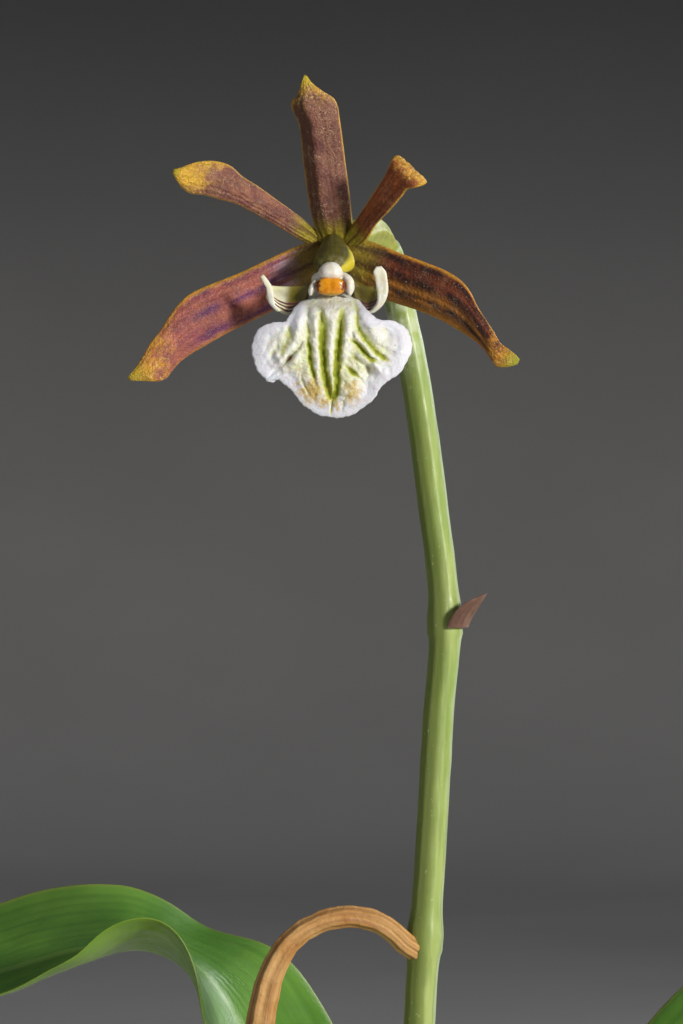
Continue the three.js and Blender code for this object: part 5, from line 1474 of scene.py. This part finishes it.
def pot_object():
    band = POT_HEIGHT - RIM_HEIGHT
    neck = RIM_RADIUS - 6
    profile = rounded([
        [0, 0], [BASE_RADIUS - 1.5, 0], [BASE_RADIUS, 1.5], [neck, band - 1.5], [RIM_RADIUS - 2.6, band],
        [RIM_RADIUS - 1.8, band + 1.5], [RIM_RADIUS, POT_HEIGHT - 2], [RIM_RADIUS - 1, POT_HEIGHT],
        [inner_radius(POT_HEIGHT) + 1, POT_HEIGHT], [inner_radius(POT_HEIGHT - 1.5), POT_HEIGHT - 1.5],
        [inner_radius(FLOOR + 2), FLOOR + 2], [inner_radius(FLOOR) - 2, FLOOR], [0, FLOOR],
    ], 0.8)
    points, faces, marks = lathe(split_long(profile), 128)
    high = points[:, 2]
    far = np.hypot(points[:, 0], points[:, 1])
    outer = far > inner_radius(high) + 0.5
    ringed = 0.09 * np.sin(high * 2.4) + 0.06 * np.sin(high * 5.3 + 1)
    uneven = 0.25 * grain(points, 24.0) + 0.07 * grain(points, 5.0, 3.0)
    amount = (ringed * outer + uneven * 0.5) * smooth(high, 0.6, 3.0)
    points = points + unit(points * np.array([1, 1, 0])) * amount[:, None]
    pot = piece("pot_clay", [(points, faces, marks)], clay_look(), "clay", "pot")
    for i in range(HOLES):
        angle = (i + 0.5) / HOLES * 2 * math.pi
        cut = rod(track([[0, 0, 0, -9], [1, 0, 0, 15]]), fixed(0, 1, 0), fixed(HOLE_RADIUS), 32, 1)
        made = bpy.data.meshes.new("drain")
        middle = np.array([HOLE_CIRCLE * math.cos(angle), HOLE_CIRCLE * math.sin(angle), 0])
        made.from_pydata(((cut[0] + middle) * METRE).tolist(), [], cut[1])
        tool = bpy.data.objects.new("drain", made)
        bpy.context.scene.collection.objects.link(tool)
        bore = pot.modifiers.new("drain", "BOOLEAN")
        bore.operation, bore.object, bore.solver = "DIFFERENCE", tool, "EXACT"
        bpy.context.view_layer.update()
        cut_mesh = bpy.data.meshes.new_from_object(pot.evaluated_get(bpy.context.evaluated_depsgraph_get()))
        pot.modifiers.clear()
        pot.data = cut_mesh
        bpy.data.objects.remove(tool)
    pot.data.set_sharp_from_angle(angle=math.radians(50))
    return pot


pot_object()


def chip_skin(rng, middle, size, tilt):
    """A rough flake of bark: a box with worn corners and torn faces."""
    n = 7
    grid = np.linspace(-1, 1, n + 1)
    skins_points, faces, first = [], [], 0
    for axis in range(3):
        for sign in (-1, 1):
            a, b = np.meshgrid(grid, grid, indexing="ij")
            face = np.empty(a.shape + (3,))
            face[..., axis], face[..., (axis + 1) % 3], face[..., (axis + 2) % 3] = sign, a, b
            skins_points.append(face.reshape(-1, 3))
            index = np.arange((n + 1) ** 2).reshape(n + 1, n + 1) + first
            quads = np.stack([index[:-1, :-1], index[1:, :-1], index[1:, 1:], index[:-1, 1:]], -1)
            quads = quads.reshape(-1, 4)
            faces += quads.tolist() if sign > 0 else quads[:, ::-1].tolist()
            first += (n + 1) ** 2
    cube = np.vstack(skins_points)
    flat, back = np.unique(np.round(cube, 6), axis=0, return_inverse=True)
    back = back.ravel()
    faces = [[int(back[i]) for i in face] for face in faces]
    worn = flat / (np.abs(flat) ** 5).sum(1, keepdims=True) ** 0.2
    narrow = 1 - 0.35 * rng.random() * smooth(worn[:, 0], -0.5, 1)
    worn = worn * np.stack([np.ones(len(worn)), narrow, narrow], -1)
    points = worn * np.array(size) / 2
    layers = 0.18 * np.sin(points[:, 2] * 5 + 3 * rng.random())
    rough = 0.5 * grain(points + 50 * rng.random(3), 1.8) + 0.9 * grain(points + 50 * rng.random(3), 4.5)
    points = points + unit(worn) * (rough * min(size[2] / 4, 1) + layers)[:, None]
    for turn, (i, j) in zip(tilt, ((1, 2), (2, 0), (0, 1))):
        c, s = math.cos(turn), math.sin(turn)
        x, y = c * points[:, i] - s * points[:, j], s * points[:, i] + c * points[:, j]
        points[:, i], points[:, j] = x, y
    return points + middle, faces, np.ones((len(points), 3)) * rng.random()


def bark_skins():
    rng = np.random.default_rng(11)
    golden = math.pi * (3 - math.sqrt(5))
    bed = lathe(split_long(rounded([
        [0, FLOOR + GAP], [inner_radius(FLOOR) - 2.6, FLOOR + GAP],
        [inner_radius(FLOOR + 2.7) - 0.5, FLOOR + 2.7],
        [inner_radius(SOIL_TOP - 3) - 0.5, SOIL_TOP - 3], [30, SOIL_TOP - 1.5], [0, SOIL_TOP - 1.5],
    ], 0.5), 3.0), 72, 0.25, 3.0)
    skins = [bed]
    for layer, (count, reach, size, height) in enumerate(((60, 42.0, 1.0, 0.6), (95, 43.5, 0.62, 1.9))):
        for i in range(count):
            far = reach * math.sqrt((i + 0.5) / count)
            angle = i * golden + layer * 1.1
            place = np.array([far * math.cos(angle), far * math.sin(angle),
                              SOIL_TOP + height + rng.random() * 1.2])
            width, depth, tall = (
                (least + more * rng.random()) * size for least, more in ((9, 6), (6, 4), (3.4, 2.4)))
            tilt = (0.9 * (rng.random() - 0.5), 0.9 * (rng.random() - 0.5), 2 * math.pi * rng.random())
            crowded = any(
                math.hypot(place[0] - foot[0], place[1] - foot[1]) < half * 0.62 + width * 0.25
                for foot, _, half, _, _ in BULBS.values())
            if crowded or far + width * 0.42 > inner_radius(SOIL_TOP) - 0.5:
                continue
            skins.append(chip_skin(rng, place, (width, depth, tall), tilt))
    return skins


piece("bark_chips", bark_skins(), bark_look(), "bark", "bark")


def moss_skins():
    """Small cushions of moss between the chips, each a tuft of short pointed shoots."""
    rng = np.random.default_rng(29)
    skins = []
    for middle, spread, count in (((-14, -26), 7, 90), ((12, -35), 5.5, 70), ((30, 20), 7, 80),
                                  ((-30, 18), 6, 70),
                                  ((5, -14), 4, 40), ((-38, -20), 4, 40), ((12, 38), 5, 50)):
        for _ in range(count):
            far, angle = spread * math.sqrt(rng.random()), 2 * math.pi * rng.random()
            x, y = middle[0] + far * math.cos(angle), middle[1] + far * math.sin(angle)
            tall = (2.4 + 1.8 * rng.random()) * (1.2 - 0.6 * far / spread)
            foot = np.array([x, y, SOIL_TOP + 1.2])
            lean = np.array([rng.normal() * 0.35, rng.normal() * 0.35, 1])
            spine = even([foot, foot + lean * tall * 0.5,
                          foot + lean * tall + np.array([rng.normal(), rng.normal(), 0]) * 0.3])
            skins.append(rod(spine, fixed(0.1, 1, 0),
                             lambda u: (0.34 * np.sin(np.pi * np.clip(0.2 + 0.78 * u, 0, 1)))[..., None],
                             6, 5))
    return skins


piece("moss_tufts", moss_skins(), moss_look(), "bark", "bark")

# Camera, light and stage

FLOWER_M = Vector(FLOWER * METRE)
camera_data = bpy.data.cameras.new("camera")
camera_data.lens = 143.6
camera_data.sensor_width = 36.0
camera_data.clip_start = 0.001
camera = bpy.data.objects.new("camera", camera_data)
camera.location = FLOWER_M + Vector((EYE_X, -EYE_DISTANCE, EYE_Z)) * METRE
camera.rotation_euler = (math.radians(90), 0, 0)
bpy.context.scene.collection.objects.link(camera)
bpy.context.scene.camera = camera


def lamp(name, place, size, power, colour):
    data = bpy.data.lights.new(name, "AREA")
    data.shape = "DISK"
    data.size, data.energy, data.color = size, power, colour
    made = bpy.data.objects.new(name, data)
    made.location = place
    made.rotation_euler = (Vector((0, 0, 0.2)) - Vector(place)).to_track_quat("-Z", "Y").to_euler()
    bpy.context.scene.collection.objects.link(made)


lamp("key", (0.95, -0.95, 0.62), 0.26, 19.0, (1.0, 0.965, 0.9))
lamp("fill", (-1.0, -1.1, 0.7), 1.2, 2.4, (0.92, 0.96, 1.0))
lamp("back", (0.9, 1.0, 0.8), 0.7, 6.0, (0.94, 0.97, 1.0))

world = bpy.data.worlds.new("studio")
world.use_nodes = True
world.node_tree.nodes["Background"].inputs["Color"].default_value = (0.86, 0.9, 1.0, 1.0)
world.node_tree.nodes["Background"].inputs["Strength"].default_value = 0.16
bpy.context.scene.world = world
bpy.context.scene.view_settings.view_transform = "Standard"


def studio_look():
    """A pale floor that turns up into a quiet grey wall."""
    look = Look("studio_paint", 0.9)
    wall = look.step(look.u, 20.0, 900.0)
    pale = look.mix(look.step(look.noise(180.0, 3.0), 0.3, 0.7), tint(214, 212, 208), tint(208, 206, 202))
    look.colour = look.mix(wall, pale, tint(92, 93, 96))
    fine = look.noise(8.0, 3.0)
    return look.finished(fine, (0.3, 0.7), (0.86, 0.94), fine, 0.1, 0.3)


FLOOR_REACH, COVE, WALL_TOP, STUDIO_SIDES = 2400, 900, 3000, 96


def studio():
    """The floor, and the round wall that it turns up into."""
    turn = np.linspace(0, math.pi / 2, 24)
    cove = [(FLOOR_REACH + COVE * math.sin(t), COVE - COVE * math.cos(t)) for t in turn]
    wall = FLOOR_REACH + COVE
    profile = np.array([(0.0, 0.0), (300, 0), (900, 0), (1700, 0), *cove, (wall, 2 * COVE), (wall, WALL_TOP)])
    points = turned(profile, STUDIO_SIDES)
    rows, n = points.shape[:2]
    index = np.arange(rows * n).reshape(rows, n)
    quads = np.stack([index[:-1], np.roll(index, -1, 1)[:-1], np.roll(index, -1, 1)[1:], index[1:]], -1)
    mesh = bpy.data.meshes.new("floor")
    mesh.from_pydata((points.reshape(-1, 3) * METRE).tolist(), [], quads.reshape(-1, 4).tolist())
    place = mesh.attributes.new("place", "FLOAT_VECTOR", "POINT")
    marks = np.stack([points[..., 2], 0 * points[..., 0], 0 * points[..., 0]], -1)
    place.data.foreach_set("vector", marks.astype(np.float32).ravel())
    mesh.shade_smooth()
    mesh.materials.append(studio_look())
    floor = bpy.data.objects.new("floor", mesh)
    bpy.context.scene.collection.objects.link(floor)


studio()

bpy.context.view_layer.update()
